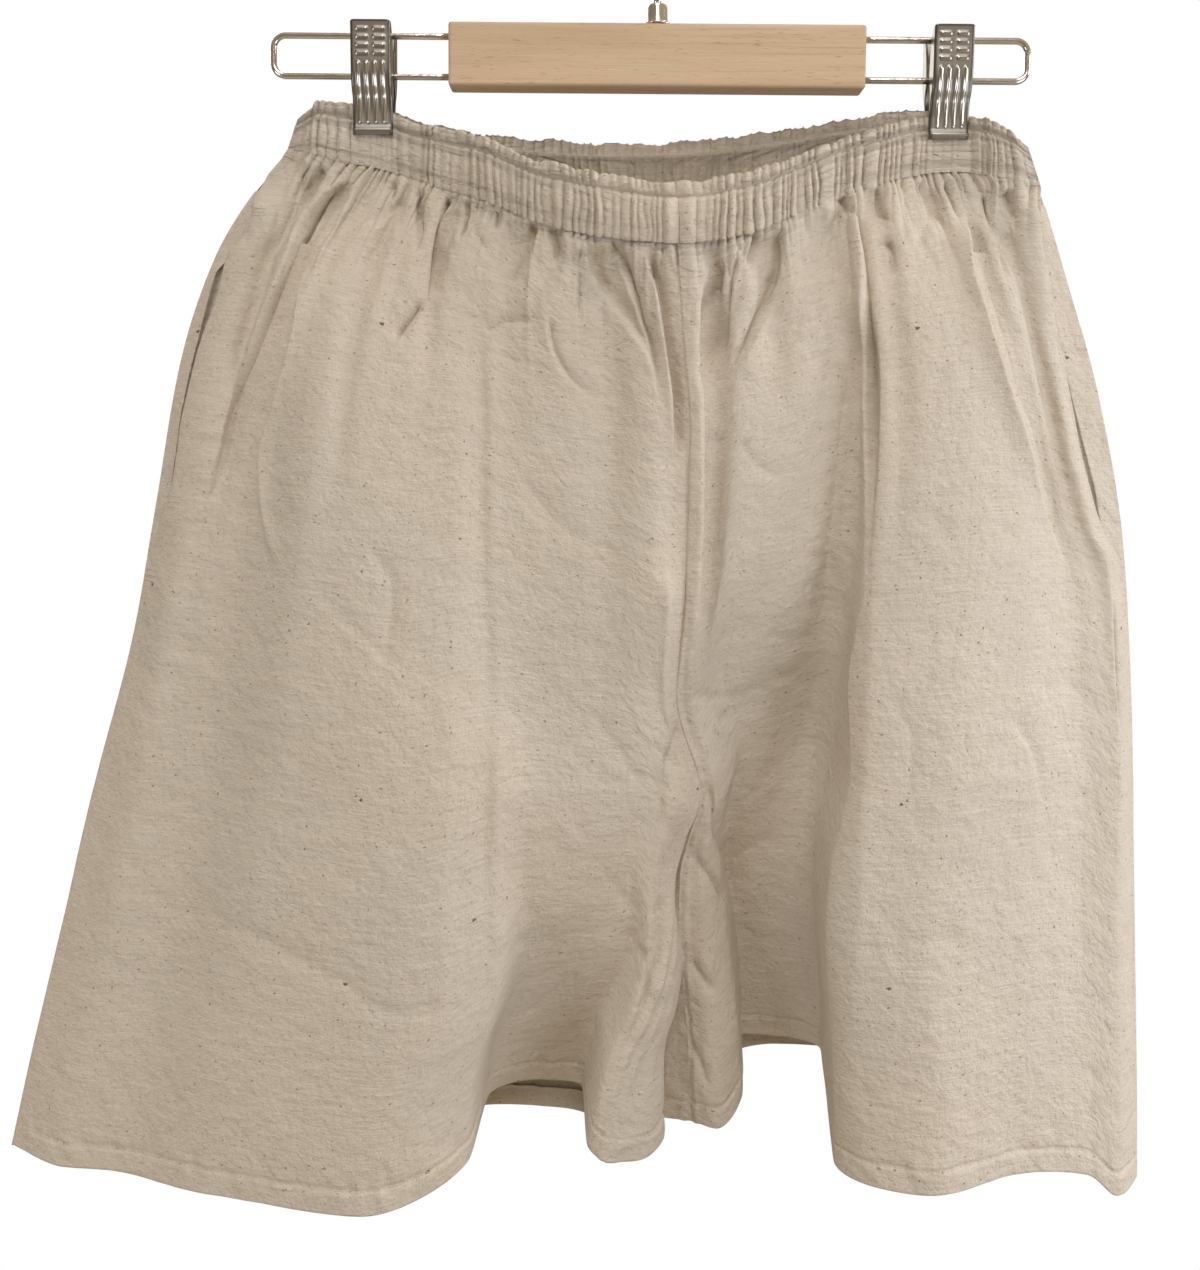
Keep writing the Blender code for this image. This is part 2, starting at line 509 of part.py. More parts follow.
for panel_name, lines, side, leg, pleats in PANELS:
    grid = surfaces[panel_name]
    if (side < 0) == (leg == "right"):
        grid = grid[:, ::-1]
    sheet(panel_name, grid, CLOTH_WALL, cloth, thick_rows=2, thick=HEM_WALL, parent=hanging)

for leg in ("left", "right"):
    pocket_bag("pocket_bag_" + leg, surfaces["front_" + leg], surfaces["back_" + leg], leg,
               cloth, hanging)

# ---- the hanger -----------------------------------------------------------------------
bpy.ops.mesh.primitive_cube_add(size=1.0)
bar = bpy.context.active_object
bar.name = "hanger_bar"
bar.data.transform(Matrix.Diagonal(
    (BAR_LENGTH * MM, BAR_DEPTH * MM, BAR_HEIGHT * MM, 1.0)))
bar.location = (0.0, 0.0, (BAR_TOP_Z - BAR_HEIGHT / 2) * MM)
rounding = bar.modifiers.new("edges", "BEVEL")
rounding.width = BAR_ROUND * MM
rounding.segments = 2
finish(bar, wood)

wire_loop("wire_loop_left", WIRE_END_LEFT, -BAR_LENGTH / 2, chrome)
wire_loop("wire_loop_right", WIRE_END_RIGHT, BAR_LENGTH / 2, chrome)

for label, clip_x in (("left", CLIP_LEFT_X), ("right", CLIP_RIGHT_X)):
    clip_jaw("clip_front_" + label, clip_x, -1, chrome)
    clip_jaw("clip_back_" + label, clip_x, 1, chrome)
    inner = WIRE_RADIUS + SEAM_GAP
    half = SPRING_LENGTH / 2
    turned("clip_spring_" + label,
           [(inner, half), (4.2, half), (4.2, -half), (inner, -half)],
           chrome, 16, (clip_x, 0.0, WIRE_BOTTOM_Z), "X")

# Hook: a crook over the rail, then a shank down into the ferrule on the bar.
crook = HOOK_RADIUS + HOOK_WIRE
crook_z = -HOOK_RADIUS
shank_top = [(x, y, z) for x, y, z in arc(0.0, crook_z, crook, 205, -62, 22)]
x_end, _, z_end = shank_top[-1]
neck = [(x_end * (1 - ease(t)), 0.0, z_end + (-55.0 - z_end) * t) for t in (0.25, 0.5, 0.75, 1.0)]
ferrule_top = BAR_TOP_Z + SEAM_GAP + 1.2 + SEAM_GAP + 9.0
foot = [(0.0, 0.0, ferrule_top + SEAM_GAP)]
ring_wire("hook", shank_top + neck + foot, HOOK_WIRE, chrome)
turned("hook_ferrule",
       [(0.0, 9.0), (FERRULE_RADIUS - 1.0, 9.0), (FERRULE_RADIUS, 8.0), (FERRULE_RADIUS, 0.0), (0.0, 0.0)],
       chrome, 24, (0.0, 0.0, BAR_TOP_Z + SEAM_GAP + 1.2 + SEAM_GAP))
turned("hook_washer",
       [(0.0, 1.2), (WASHER_RADIUS, 1.2), (WASHER_RADIUS, 0.0), (0.0, 0.0)],
       chrome, 24, (0.0, 0.0, BAR_TOP_Z + SEAM_GAP))
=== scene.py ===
# %% [markdown]
# # Gathered linen shorts on a clip hanger
#
# A pair of wide unbleached shorts with an elasticated waist hangs from a wooden bar hanger. Two sprung metal
# clips, which slide on wire loops at the bar's ends, hold the waistband. The solid model gives every piece
# its place. This lesson dresses it: cloth surfaces worked out as grids, creases laid one by one, sewn
# stitches, wood and bright metal.

# %% The frame
import math

import bpy
import numpy as np
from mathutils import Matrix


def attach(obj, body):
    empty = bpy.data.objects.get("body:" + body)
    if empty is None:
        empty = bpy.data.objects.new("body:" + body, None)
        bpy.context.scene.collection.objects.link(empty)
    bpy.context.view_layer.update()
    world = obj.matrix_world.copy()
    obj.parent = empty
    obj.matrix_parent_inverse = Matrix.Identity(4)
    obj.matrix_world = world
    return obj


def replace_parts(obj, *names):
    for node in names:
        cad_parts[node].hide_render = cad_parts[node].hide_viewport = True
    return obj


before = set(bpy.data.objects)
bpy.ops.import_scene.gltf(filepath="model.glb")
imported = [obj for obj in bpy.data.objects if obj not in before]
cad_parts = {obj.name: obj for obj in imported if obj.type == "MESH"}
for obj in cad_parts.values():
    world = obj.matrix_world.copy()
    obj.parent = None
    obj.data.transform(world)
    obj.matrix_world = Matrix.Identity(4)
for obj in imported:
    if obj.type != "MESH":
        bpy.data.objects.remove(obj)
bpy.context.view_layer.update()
MM = 0.001

# %% [markdown]
# ## Camera
#
# The picture was taken with a short lens from a little above the middle, tilted slightly. The perspective
# could be matched with any lens by moving nearer or further. A lens of 35 mm on a 36 mm sensor is chosen,
# from 0.64 m in front, because it gives the same spread between the near cloth and the hanger behind it.

# %% The camera
camera = bpy.data.objects.new("camera", bpy.data.cameras.new("camera"))
bpy.context.scene.collection.objects.link(camera)
camera.data.lens = 35
camera.data.sensor_width = 36
camera.data.sensor_fit = "AUTO"
camera.data.shift_y = -0.0693
camera.location = (-0.027, -0.640, -0.2836)
camera.rotation_euler = (math.radians(85.5), math.radians(-0.45), 0)
bpy.context.scene.camera = camera
bpy.context.scene.view_settings.view_transform = "Standard"
print("lens:", camera.data.lens, "mm at", [round(c, 3) for c in camera.location])

# %% [markdown]
# ## A short way to write materials
#
# A procedural material is a formula. `Value` wraps one socket, so that `a * 2 + b` adds the Math nodes by
# itself, and `Recipe.node` adds any other node in one line.

# %% Shader formulas
class Value:
    """One output socket. Sums on it add Math nodes to its recipe."""

    def __init__(self, recipe, socket):
        self.recipe = recipe
        self.socket = socket

    def maths(self, operation, *inputs):
        """One Math node; its inputs are other values or plain numbers."""
        return self.recipe.node("ShaderNodeMath", {"operation": operation}, dict(enumerate(inputs)))

    def __add__(self, other):
        return self.maths("ADD", self, other)

    def __sub__(self, other):
        return self.maths("SUBTRACT", self, other)

    def __rsub__(self, other):
        return self.maths("SUBTRACT", other, self)

    def __mul__(self, other):
        return self.maths("MULTIPLY", self, other)

    __radd__ = __add__
    __rmul__ = __mul__

    def between(self, low, high):
        """0 below low, 1 above high, and a smooth step from one to the other."""
        return self.recipe.node("ShaderNodeMapRange", {"interpolation_type": "SMOOTHSTEP"},
                                {"Value": self, "From Min": low, "From Max": high})


class Recipe:
    """A node tree that is written as a list of steps: a material's or the sky's."""

    def __init__(self, owner):
        owner.use_nodes = True
        self.owner = owner
        self.tree = owner.node_tree

    def node(self, kind, settings=None, values=None, output=0):
        """Adds a node: its settings first, then the values or links of its sockets. Returns one output."""
        made = self.tree.nodes.new(kind)
        for key, value in (settings or {}).items():
            setattr(made, key, value)
        for key, value in (values or {}).items():
            self.fill(made, key, value)
        return Value(self, self.find(made.outputs, output))

    @staticmethod
    def find(sockets, key):
        """The socket with this number or identifier, or else the one in use with this name."""
        if isinstance(key, int):
            return sockets[key]
        return next(s for s in sockets if s.identifier == key or (s.name == key and s.enabled))

    def fill(self, made, key, value):
        """Links a value to a node's socket, or sets a number, vector or colour on the socket itself."""
        socket = self.find(made.inputs, key)
        if isinstance(value, Value):
            self.tree.links.new(value.socket, socket)
        else:
            socket.default_value = (*value, 1.0) if socket.type == "RGBA" and len(value) == 3 else value

    def set(self, **values):
        """Fills the Principled shader's sockets; Base_Color means Base Color."""
        shader = self.tree.nodes["Principled BSDF"]
        for key, value in values.items():
            self.fill(shader, key.replace("_", " "), value)

    def noise(self, place, scale, detail=2.0, roughness=0.5):
        """Soft random heights from 0 to 1, about scale of them a metre."""
        return self.node("ShaderNodeTexNoise", {}, {"Vector": place, "Scale": scale, "Detail": detail,
                                                    "Roughness": roughness})

    def stretch(self, place, scale, location=(0.0, 0.0, 0.0)):
        """place * scale + location, each direction on its own."""
        return self.node("ShaderNodeMapping", {}, {"Vector": place, "Scale": scale, "Location": location})

    def blend(self, factor, one, two, mode="MIX"):
        """Colour one where factor is 0, and where it is 1 colour two, mixed in the way that mode names."""
        return self.node("ShaderNodeMix", {"data_type": "RGBA", "blend_type": mode},
                         {"Factor_Float": factor, "A_Color": one, "B_Color": two}, "Result_Color")

    def bump(self, height, strength, distance, normal=None):
        """The normal of a surface raised by height * distance metres, on top of another normal if given."""
        values = {"Height": height, "Strength": strength, "Distance": distance}
        if normal is not None:
            values["Normal"] = normal
        return self.node("ShaderNodeBump", {}, values)


def new_material(name):
    """A recipe for a new material of this name."""
    return Recipe(bpy.data.materials.new(name))


# %% [markdown]
# ## Light and floor
#
# The object hangs in a bright, pale room. A broad soft light stands in front, above the camera, so that the
# flat clips don't mirror it. A window far to the right and two near walls brighten the cloth that is turned
# to them, and the deep folds in the middle stay in shade. The sky gives warm light from above and less from
# below, and metal has something to reflect. The floor lies well below, as it does under a rail. The
# picture's ground is plain white, so the sky and the floor are white to the camera: a Mix Shader tells its
# rays from the others.

# %% Lights, sky and floor
def soft_light(name, place, target, size, power, colour):
    """A square area light facing the target: turned down by acos(-z) and round by atan2(y, x) of its aim."""
    lamp = bpy.data.objects.new(name, bpy.data.lights.new(name, "AREA"))
    lamp.data.size = size
    lamp.data.energy = power
    lamp.data.color = colour
    lamp.location = place
    aim = np.array(target) - np.array(place)
    down, round_up = math.acos(-aim[2] / np.linalg.norm(aim)), math.atan2(aim[1], aim[0])
    lamp.rotation_euler = (down, 0.0, round_up - math.pi / 2)
    bpy.context.scene.collection.objects.link(lamp)


soft_light("room_in_front", (0.12, -1.8, 1.10), (0.0, 0.0, -0.45), 0.8, 13.2, (1.0, 0.995, 0.99))
soft_light("window_right", (2.2, -0.22, 0.20), (0.15, 0.0, -0.4), 0.6, 16.0, (0.97, 0.985, 1.04))
soft_light("wall_right", (0.66, -0.52, -0.42), (0.24, 0.0, -0.45), 0.4, 2.1, (0.95, 0.985, 1.07))
soft_light("wall_left", (-1.0, -0.85, -0.45), (-0.25, 0.0, -0.45), 0.4, 2.7, (0.98, 0.99, 1.03))
soft_light("ceiling", (0.1, -0.8, 1.7), (0.0, 0.0, -0.2), 1.0, 9.0, (1.0, 0.99, 0.98))
soft_light("room_behind", (-1.0, 1.9, 1.0), (0.0, 0.0, -0.4), 1.6, 30.0, (1.0, 0.97, 0.94))

SKY = Recipe(bpy.data.worlds.new("pale_room"))
bpy.context.scene.world = SKY.owner
away = SKY.node("ShaderNodeTexCoord", {}, {}, "Generated")
to_right = SKY.node("ShaderNodeSeparateXYZ", {}, {"Vector": away}, "X")
to_back = SKY.node("ShaderNodeSeparateXYZ", {}, {"Vector": away}, "Y")
upward = SKY.node("ShaderNodeSeparateXYZ", {}, {"Vector": away}, "Z")
glow = 0.11 + upward.between(-0.50, 0.75) * 0.21 + to_right.between(-0.9, 1.0) * 0.15
glow = glow + to_back.between(0.0, 1.0) * 0.12
room = SKY.node("ShaderNodeBackground", {}, {"Color": (1.0, 0.785, 0.50), "Strength": glow})
plain = SKY.node("ShaderNodeBackground", {}, {"Color": (1.0, 1.0, 1.0), "Strength": 1.0})
seen = SKY.node("ShaderNodeLightPath", {}, {}, "Is Camera Ray")
either = SKY.node("ShaderNodeMixShader", {}, {0: seen, 1: room, 2: plain})
SKY.tree.links.new(either.socket, SKY.tree.nodes["World Output"].inputs["Surface"])

FLOOR_Z, FLOOR_HALF = -1.3, 9.0
floor_mesh = bpy.data.meshes.new("floor")
CORNERS = ((-1, -1), (1, -1), (1, 1), (-1, 1))
floor_mesh.from_pydata([(x * FLOOR_HALF, y * FLOOR_HALF, FLOOR_Z) for x, y in CORNERS],
                       [], [(0, 1, 2, 3)])
floor = bpy.data.objects.new("floor", floor_mesh)
bpy.context.scene.collection.objects.link(floor)
FLOOR = new_material("pale_floor")
matt = FLOOR.node("ShaderNodeBsdfDiffuse", {}, {"Color": (0.42, 0.38, 0.32)})
white = FLOOR.node("ShaderNodeEmission", {}, {"Color": (1.0, 1.0, 1.0), "Strength": 1.0})
seen = FLOOR.node("ShaderNodeLightPath", {}, {}, "Is Camera Ray")
both = FLOOR.node("ShaderNodeMixShader", {}, {0: seen, 1: matt, 2: white})
FLOOR.tree.links.new(both.socket, FLOOR.tree.nodes["Material Output"].inputs["Surface"])
floor.data.materials.append(FLOOR.owner)

# %% [markdown]
# ## The cloth's finish
#
# Unbleached plain weave shows thick and thin threads both ways, tiny dark flecks of seed husk, and a soft,
# crumpled hand from washing. The threads follow each cut piece, so the pattern reads the piece's own UV map,
# which is in metres of flat cloth. Stretched noise is better than even lines here, because real slubs have
# no repeat. Flecks are the middles of a few scattered cells, bent by noise so that no two look alike.

# %% Cloth
def cloth_recipe(name, base, shade):
    """Weave = noise drawn out along each thread's direction; flecks = middles of a few cells of a pattern."""
    cloth = new_material(name)
    place = cloth.node("ShaderNodeTexCoord", {}, {}, "UV")
    weft = cloth.noise(cloth.stretch(place, (300.0, 2300.0, 1.0)), 1.0, 2.0, 0.6)
    warp = cloth.noise(cloth.stretch(place, (2300.0, 420.0, 1.0)), 1.0, 2.0, 0.6)
    slub = cloth.noise(cloth.stretch(place, (38.0, 1150.0, 1.0), (3.1, 0.0, 0.0)), 1.0, 1.0)
    cloud = cloth.noise(place, 7.0, 3.0)
    grain = weft * 0.50 + warp * 0.30 + slub * 0.35
    tone = cloth.blend(cloud.between(0.35, 0.68), base, shade)
    # thin threads darker: partly their own tone, partly painted shade in the weave's low places, which the
    # bump lowers too
    shaded_thin_threads = cloth.blend(1.0, tone, (0.80, 0.775, 0.735), "MULTIPLY")
    tone = cloth.blend(grain.between(0.38, 0.78), shaded_thin_threads, tone)
    jolt = cloth.node("ShaderNodeTexNoise", {}, {"Vector": place, "Scale": 900.0, "Detail": 1.0}, "Color")
    bent = cloth.node("ShaderNodeVectorMath", {"operation": "MULTIPLY_ADD"},
                      {0: jolt, 1: (0.0022, 0.0022, 0.0), 2: place})
    # cells a metre, a fleck's radius in cells, the share of cells that have one, its colour and its cover
    for size, reach, share, dark, ink in ((250.0, 0.115, 0.50, (0.33, 0.24, 0.15), 0.60),
                                          (120.0, 0.062, 0.42, (0.22, 0.14, 0.08), 0.80),
                                          (23.0, 0.024, 0.30, (0.10, 0.06, 0.04), 0.90)):
        cells = cloth.stretch(bent, (size * 0.7, size, 1.0), (size, 0.37 * size, 0.0))
        flat = ("ShaderNodeTexVoronoi", {"voronoi_dimensions": "2D"}, {"Vector": cells, "Scale": 1.0})
        spot = cloth.node(*flat)
        pick = cloth.node(*flat, "Color")
        luck = cloth.node("ShaderNodeSeparateColor", {}, {"Color": pick}, "Red")
        fleck = (1.0 - spot.between(reach * 0.5, reach)) * (1.0 - luck.between(share - 0.25, share)) * ink
        tone = cloth.blend(fleck, tone, dark)
    crumple = cloth.noise(place, 85.0, 4.0, 0.62)
    hair = cloth.bump(grain, 0.80, 0.0004)
    cloth.set(Base_Color=tone, Roughness=0.92, Normal=cloth.bump(crumple, 0.80, 0.0034, hair),
              Sheen_Weight=0.10, Sheen_Roughness=0.6)
    return cloth.owner


LINEN = cloth_recipe("natural_linen", (0.697, 0.642, 0.570), (0.722, 0.654, 0.574))
print("cloth nodes:", len(LINEN.node_tree.nodes))

# %% [markdown]
# ## Thread, wood and plated steel
#
# The thread matches the cloth. The bar is pale beech: fine streaks along its length, short darker pores and
# a broad soft figure, all read from Object coordinates that are drawn out along X. The wires are plated
# steel, whose look is mostly reflection. The clips' sheet is pressed, and light is painted into its colour: a
# painted highlight where it stands up in ribs and on its rolled lip, plain, rougher steel between them, and
# painted shade along its bent borders. A mark on each point of the sheet tells the shader which.

# %% Thread, wood and metal
THREAD = new_material("sewing_thread")
twist = THREAD.noise(THREAD.node("ShaderNodeTexCoord", {}, {}, "Object"), 1500.0, 1.0)
THREAD.set(Base_Color=THREAD.blend(twist.between(0.3, 0.7), (0.56, 0.49, 0.40), (0.68, 0.60, 0.50)),
           Roughness=0.75, Normal=THREAD.bump(twist, 0.5, 0.0002))

WOOD = new_material("pale_beech")
spot = WOOD.node("ShaderNodeTexCoord", {}, {}, "Object")
figure = WOOD.noise(WOOD.stretch(spot, (5.0, 60.0, 75.0)), 1.0, 3.0, 0.55)
streak = WOOD.noise(WOOD.stretch(spot, (11.0, 500.0, 620.0)), 1.0, 2.0, 0.6)
pore = WOOD.noise(WOOD.stretch(spot, (150.0, 1300.0, 1500.0)), 1.0, 1.0)
pale = WOOD.blend(figure.between(0.30, 0.72), (0.580, 0.420, 0.268), (0.680, 0.520, 0.352))
pale = WOOD.blend(streak.between(0.52, 0.78) * 0.60, pale, (0.500, 0.345, 0.205))
pale = WOOD.blend(pore.between(0.64, 0.76) * 0.55, pale, (0.330, 0.210, 0.120))
WOOD.set(Base_Color=pale, Roughness=0.48 + streak * 0.12,
         Normal=WOOD.bump(streak * 0.7 + pore * 0.6, 0.30, 0.0004))

CHROME = new_material("plated_steel")
ripple = CHROME.noise(CHROME.node("ShaderNodeTexCoord", {}, {}, "Object"), 160.0, 2.0)
CHROME.set(Base_Color=(0.74, 0.725, 0.70), Metallic=1.0, Roughness=0.13 + ripple * 0.10,
           Normal=CHROME.bump(ripple, 0.20, 0.0008))

PRESSED = new_material("pressed_steel")
mark = PRESSED.node("ShaderNodeTexCoord", {}, {}, "UV")
raised = PRESSED.node("ShaderNodeSeparateXYZ", {}, {"Vector": mark}, "X")
border = PRESSED.node("ShaderNodeSeparateXYZ", {}, {"Vector": mark}, "Y")
# painted shade darkens the steel at its bent borders, and a painted highlight makes it pale on the ribs and
# lip
border_shaded_steel = PRESSED.blend(border.between(0.80, 0.90), (0.36, 0.345, 0.325), (0.17, 0.16, 0.145))
PRESSED.set(Base_Color=PRESSED.blend(raised.between(0.35, 0.95), border_shaded_steel, (0.84, 0.825, 0.80)), Metallic=1.0,
            Roughness=0.34 - raised.between(0.2, 0.9) * 0.20)
print("finishes:", [m.name for m in bpy.data.materials])

# %% [markdown]
# ## From numbers to a surface
#
# Each cloth piece is a sheet, and a sheet is a grid of points: one parameter runs across, one runs down. A
# smooth curve through a short table of sizes gives every line of the grid. A spline that overshoots would
# put waves beside a flat stretch, so the curve used here never passes its own table's highs and lows.

# %% Smooth curves
def smooth(places, values, at):
    """Cubic through a table, level at its peaks: each slope is the harmonic mean of the steps beside it."""
    xs = np.asarray(places, float)
    ys = np.asarray(values, float)
    at = np.clip(np.asarray(at, float), xs[0], xs[-1])
    wide = (-1,) + (1,) * (ys.ndim - 1)
    h = np.diff(xs).reshape(wide)
    d = np.diff(ys, axis=0) / h
    slope = np.zeros_like(ys)
    slope[0], slope[-1] = d[0], d[-1]
    w1, w2 = 2 * h[1:] + h[:-1], h[1:] + 2 * h[:-1]
    same = d[:-1] * d[1:] > 0
    safe = np.where(same, d[:-1], 1.0), np.where(same, d[1:], 1.0)
    slope[1:-1] = np.where(same, (w1 + w2) / (w1 / safe[0] + w2 / safe[1]), 0.0)
    k = np.clip(np.searchsorted(xs, at) - 1, 0, len(xs) - 2)
    step = h[k].reshape(at.shape + (1,) * (ys.ndim - 1))
    t = (at - xs[k]).reshape(step.shape) / step
    return ((2 * t**3 - 3 * t**2 + 1) * ys[k] + (t**3 - 2 * t**2 + t) * step * slope[k]
            + (3 * t**2 - 2 * t**3) * ys[k + 1] + (t**3 - t**2) * step * slope[k + 1])


def ease(t):
    """A smooth step from 0 to 1: three squares of t less two cubes."""
    t = np.clip(t, 0.0, 1.0)
    return t * t * (3 - 2 * t)


def bell(distance, width):
    """1 on the line, falling off as a bell curve: e to the minus square of distance / width."""
    return np.exp(-(distance / width)**2)


def wander(x, z, size, seed):
    """Smooth random heights from -1 to 1: a turned lattice of random numbers, eased between its knots."""
    knots = np.random.default_rng(seed).uniform(-1.0, 1.0, (64, 64))
    gx, gz = (0.8 * x - 0.6 * z) / size + 900.0, (0.6 * x + 0.8 * z) / size + 900.0
    ix, iz = np.floor(gx).astype(int), np.floor(gz).astype(int)
    fx, fz = ease(gx - ix), ease(gz - iz)
    ix, iz, jx, jz = ix % 64, iz % 64, (ix + 1) % 64, (iz + 1) % 64
    return ((knots[ix, iz] * (1 - fx) + knots[jx, iz] * fx) * (1 - fz)
            + (knots[ix, jz] * (1 - fx) + knots[jx, jz] * fx) * fz)


print("halfway up a smooth step:", ease(0.5), "and one width off a bell:", round(float(bell(1.0, 1.0)), 2))

# %% [markdown]
# ## From a grid to a mesh
#
# Blender draws faces, so each cell of the grid becomes a four-sided face. A sheet needs a UV map in metres
# of flat cloth for its weave. It could be unwrapped, but the run along each row and down the middle column
# is simpler and keeps the threads straight along the cut. A closed grid is a tube, as for wire, and its two
# ends are filled.

# %% Normals, cloth map and mesh
def facing(points):
    """Unit normal of a grid: its across direction crossed with its down direction."""
    normal = np.cross(np.gradient(points, axis=1), np.gradient(points, axis=0))
    return normal / np.maximum(np.linalg.norm(normal, axis=2, keepdims=True), 1e-9)


def flat_map(points):
    """UV in metres of cloth: the run along each row from its middle, and the run down the middle column."""
    across = np.linalg.norm(np.diff(points, axis=1, prepend=points[:, :1]), axis=2).cumsum(axis=1)
    down = np.linalg.norm(np.diff(points, axis=0, prepend=points[:1]), axis=2).cumsum(axis=0)
    middle = points.shape[1] // 2
    across = across - across[:, middle:middle + 1]
    return np.stack([across, np.broadcast_to(-down.mean(axis=1, keepdims=True), across.shape)], axis=2) * MM


def surface(name, points, paint, uv=None, flip=False, closed=False):
    """A grid of points in mm as a smooth mesh on the one body. A closed grid is a tube with both ends filled.
    It is turned outwards by the sign of its volume, the sum of a . (b x c + c x d) over its faces."""
    rows, cols = points.shape[:2]
    index = np.arange(rows * cols).reshape(rows, cols)
    if closed:
        index = np.concatenate([index, index[:, :1]], axis=1)
    quads = np.stack([index[:-1, :-1], index[1:, :-1], index[1:, 1:], index[:-1, 1:]], axis=2).reshape(-1, 4)
    verts = points.reshape(-1, 3)
    faces = quads.tolist()
    if closed:
        a, b, c, d = (verts[quads[:, k]] for k in range(4))
        flip = float((a * (np.cross(b, c) + np.cross(c, d))).sum()) < 0
        verts = np.vstack([verts, points[0].mean(axis=0), points[-1].mean(axis=0)])
        hub = np.full(cols, rows * cols)
        faces += np.stack([hub, index[0, :-1], index[0, 1:]], axis=1).tolist()
        faces += np.stack([hub + 1, index[-1, 1:], index[-1, :-1]], axis=1).tolist()
    if flip:
        faces = [face[::-1] for face in faces]
        quads = quads[:, ::-1]
    mesh = bpy.data.meshes.new(name)
    mesh.from_pydata((verts * MM).tolist(), [], faces)
    if uv is not None:
        corner = np.empty(len(mesh.loops), int)
        mesh.loops.foreach_get("vertex_index", corner)
        marks = np.vstack([uv.reshape(-1, 2), uv[0, :1], uv[-1, :1]])
        mesh.uv_layers.new(name="map").data.foreach_set("uv", marks[corner].ravel())
    return placed(name, mesh, paint)


def placed(name, mesh, paint):
    """The finished mesh as an object that rides on the one body."""
    mesh.shade_smooth()
    mesh.materials.append(paint)
    obj = bpy.data.objects.new(name, mesh)
    bpy.context.scene.collection.objects.link(obj)
    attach(obj, "root")
    print(f"{name}: {len(mesh.polygons)} faces")
    return obj


# %% [markdown]
# ## The cut and the drape
#
# The garment hangs pinched under each clip and open between them. It could be draped by a simulation, but
# then the folds would fall where they like. Short tables place them instead: this one gives the waistband's
# line, its depth and its top and bottom edges. The tables hold the solids' own sizes, but for a little more
# form at the inner legs, so every surface lies on its solid. All are in millimetres, and the waist hangs 3
# mm right of the hook.

# %% The waistband's line
CLOTH_X = 3.0
BAND = np.array([
    # x,     front_y, front_top, front_seam, back_y, back_top, back_seam
    (-190.0, -1.5, -118.0, -134.0, 1.5, -118.0, -134.0), (-183.0, -4.6, -114.0, -134.5, 4.6, -113.5, -134.8),
    (-172.0, -5.8, -110.5, -136.0, 5.6, -111.0, -137.0), (-164.0, -4.2, -111.0, -138.0, 4.2, -110.5, -138.0),
    (-157.0, -1.9, -111.2, -139.2, 1.9, -111.2, -139.0), (-134.0, -1.9, -116.5, -144.0, 1.9, -114.5, -142.5),
    (-127.0, -5.0, -119.5, -146.5, 3.6, -116.5, -144.5), (-111.0, -11.0, -124.0, -152.5, 6.5, -119.5, -147.5),
    (-90.0, -17.0, -129.5, -159.0, 9.5, -122.3, -150.3), (-61.0, -26.0, -143.0, -171.5, 14.0, -123.6, -151.6),
    (-31.0, -32.5, -150.0, -179.0, 16.5, -124.6, -152.6), (7.0, -35.5, -155.0, -182.5, 17.5, -123.6, -151.6),
    (41.0, -31.5, -149.0, -177.0, 15.5, -120.9, -148.9), (66.0, -24.0, -139.0, -166.0, 12.5, -117.5, -145.5),
    (87.0, -16.0, -129.5, -156.0, 9.5, -114.4, -142.4), (108.0, -9.5, -122.5, -148.5, 6.5, -112.0, -140.0),
    (126.0, -5.0, -116.5, -143.5, 3.6, -110.5, -138.5), (133.0, -1.9, -115.0, -142.0, 1.9, -110.5, -138.5),
    (155.0, -1.9, -114.5, -141.0, 1.9, -113.0, -140.0), (162.0, -4.4, -116.0, -142.3, 4.2, -114.8, -141.6),
    (171.0, -5.8, -119.0, -144.0, 5.2, -118.0, -144.0), (184.0, -4.4, -125.0, -145.0, 4.4, -124.0, -145.0),
    (192.0, -1.5, -129.0, -145.5, 1.5, -129.0, -145.5)])


def band_at(x, column):
    """One column of the band's table, read at x."""
    return smooth(BAND[:, 0], BAND[:, column], x)


BAND_SEAM = {"front": float(band_at(6.0, 3)), "back": float(band_at(6.0, 6))}
BAND_EDGE = {"left": BAND[0, 0] + 0.5, "right": BAND[-1, 0] - 0.5}
print("waist, laid flat:", BAND[-1, 0] - BAND[0, 0], "mm")

# %% [markdown]
# ## The legs' outline and the lines down each panel
#
# A maker chalks a panel between two seams and a hem. Here two seams bound each panel, and the share v runs
# from the band's seam at 0 to the hem at 1. Lines down the cloth carry the large folds: each has its place
# between the seams, and its depth, at four heights. A dozen lines are enough, because a smooth curve fills
# in all that lies between.

# %% The outline and the lines
SEAT, CROTCH = 0.35, 0.61
CROTCH_Z, HEM_SEAM_Z, HEM_DEPTH = -467.0, -661.0, 12.0
OUTLINE = np.array([
    # v, left_x, right_x, left_seam_x, right_seam_x
    (0.00, -189.5, 191.5, 6.0, 6.0), (0.05, -211.0, 200.0, 8.0, 8.0), (0.10, -226.5, 208.5, 9.5, 9.5),
    (0.20, -245.0, 225.0, 13.5, 13.5), (0.35, -260.0, 241.5, 13.0, 13.0), (0.48, -273.0, 248.5, 9.5, 9.5),
    (0.61, -291.5, 253.0, 24.5, 24.5), (0.65, -297.5, 254.0, 17.0, 19.0), (0.70, -304.5, 255.5, 11.5, 14.5),
    (0.75, -311.0, 257.0, 11.0, 14.5), (0.80, -318.0, 258.5, 7.5, 16.5), (0.85, -325.0, 260.0, -1.0, 19.0),
    (0.90, -332.0, 261.5, -13.0, 21.5), (1.00, -345.0, 264.0, -24.0, 24.0)])
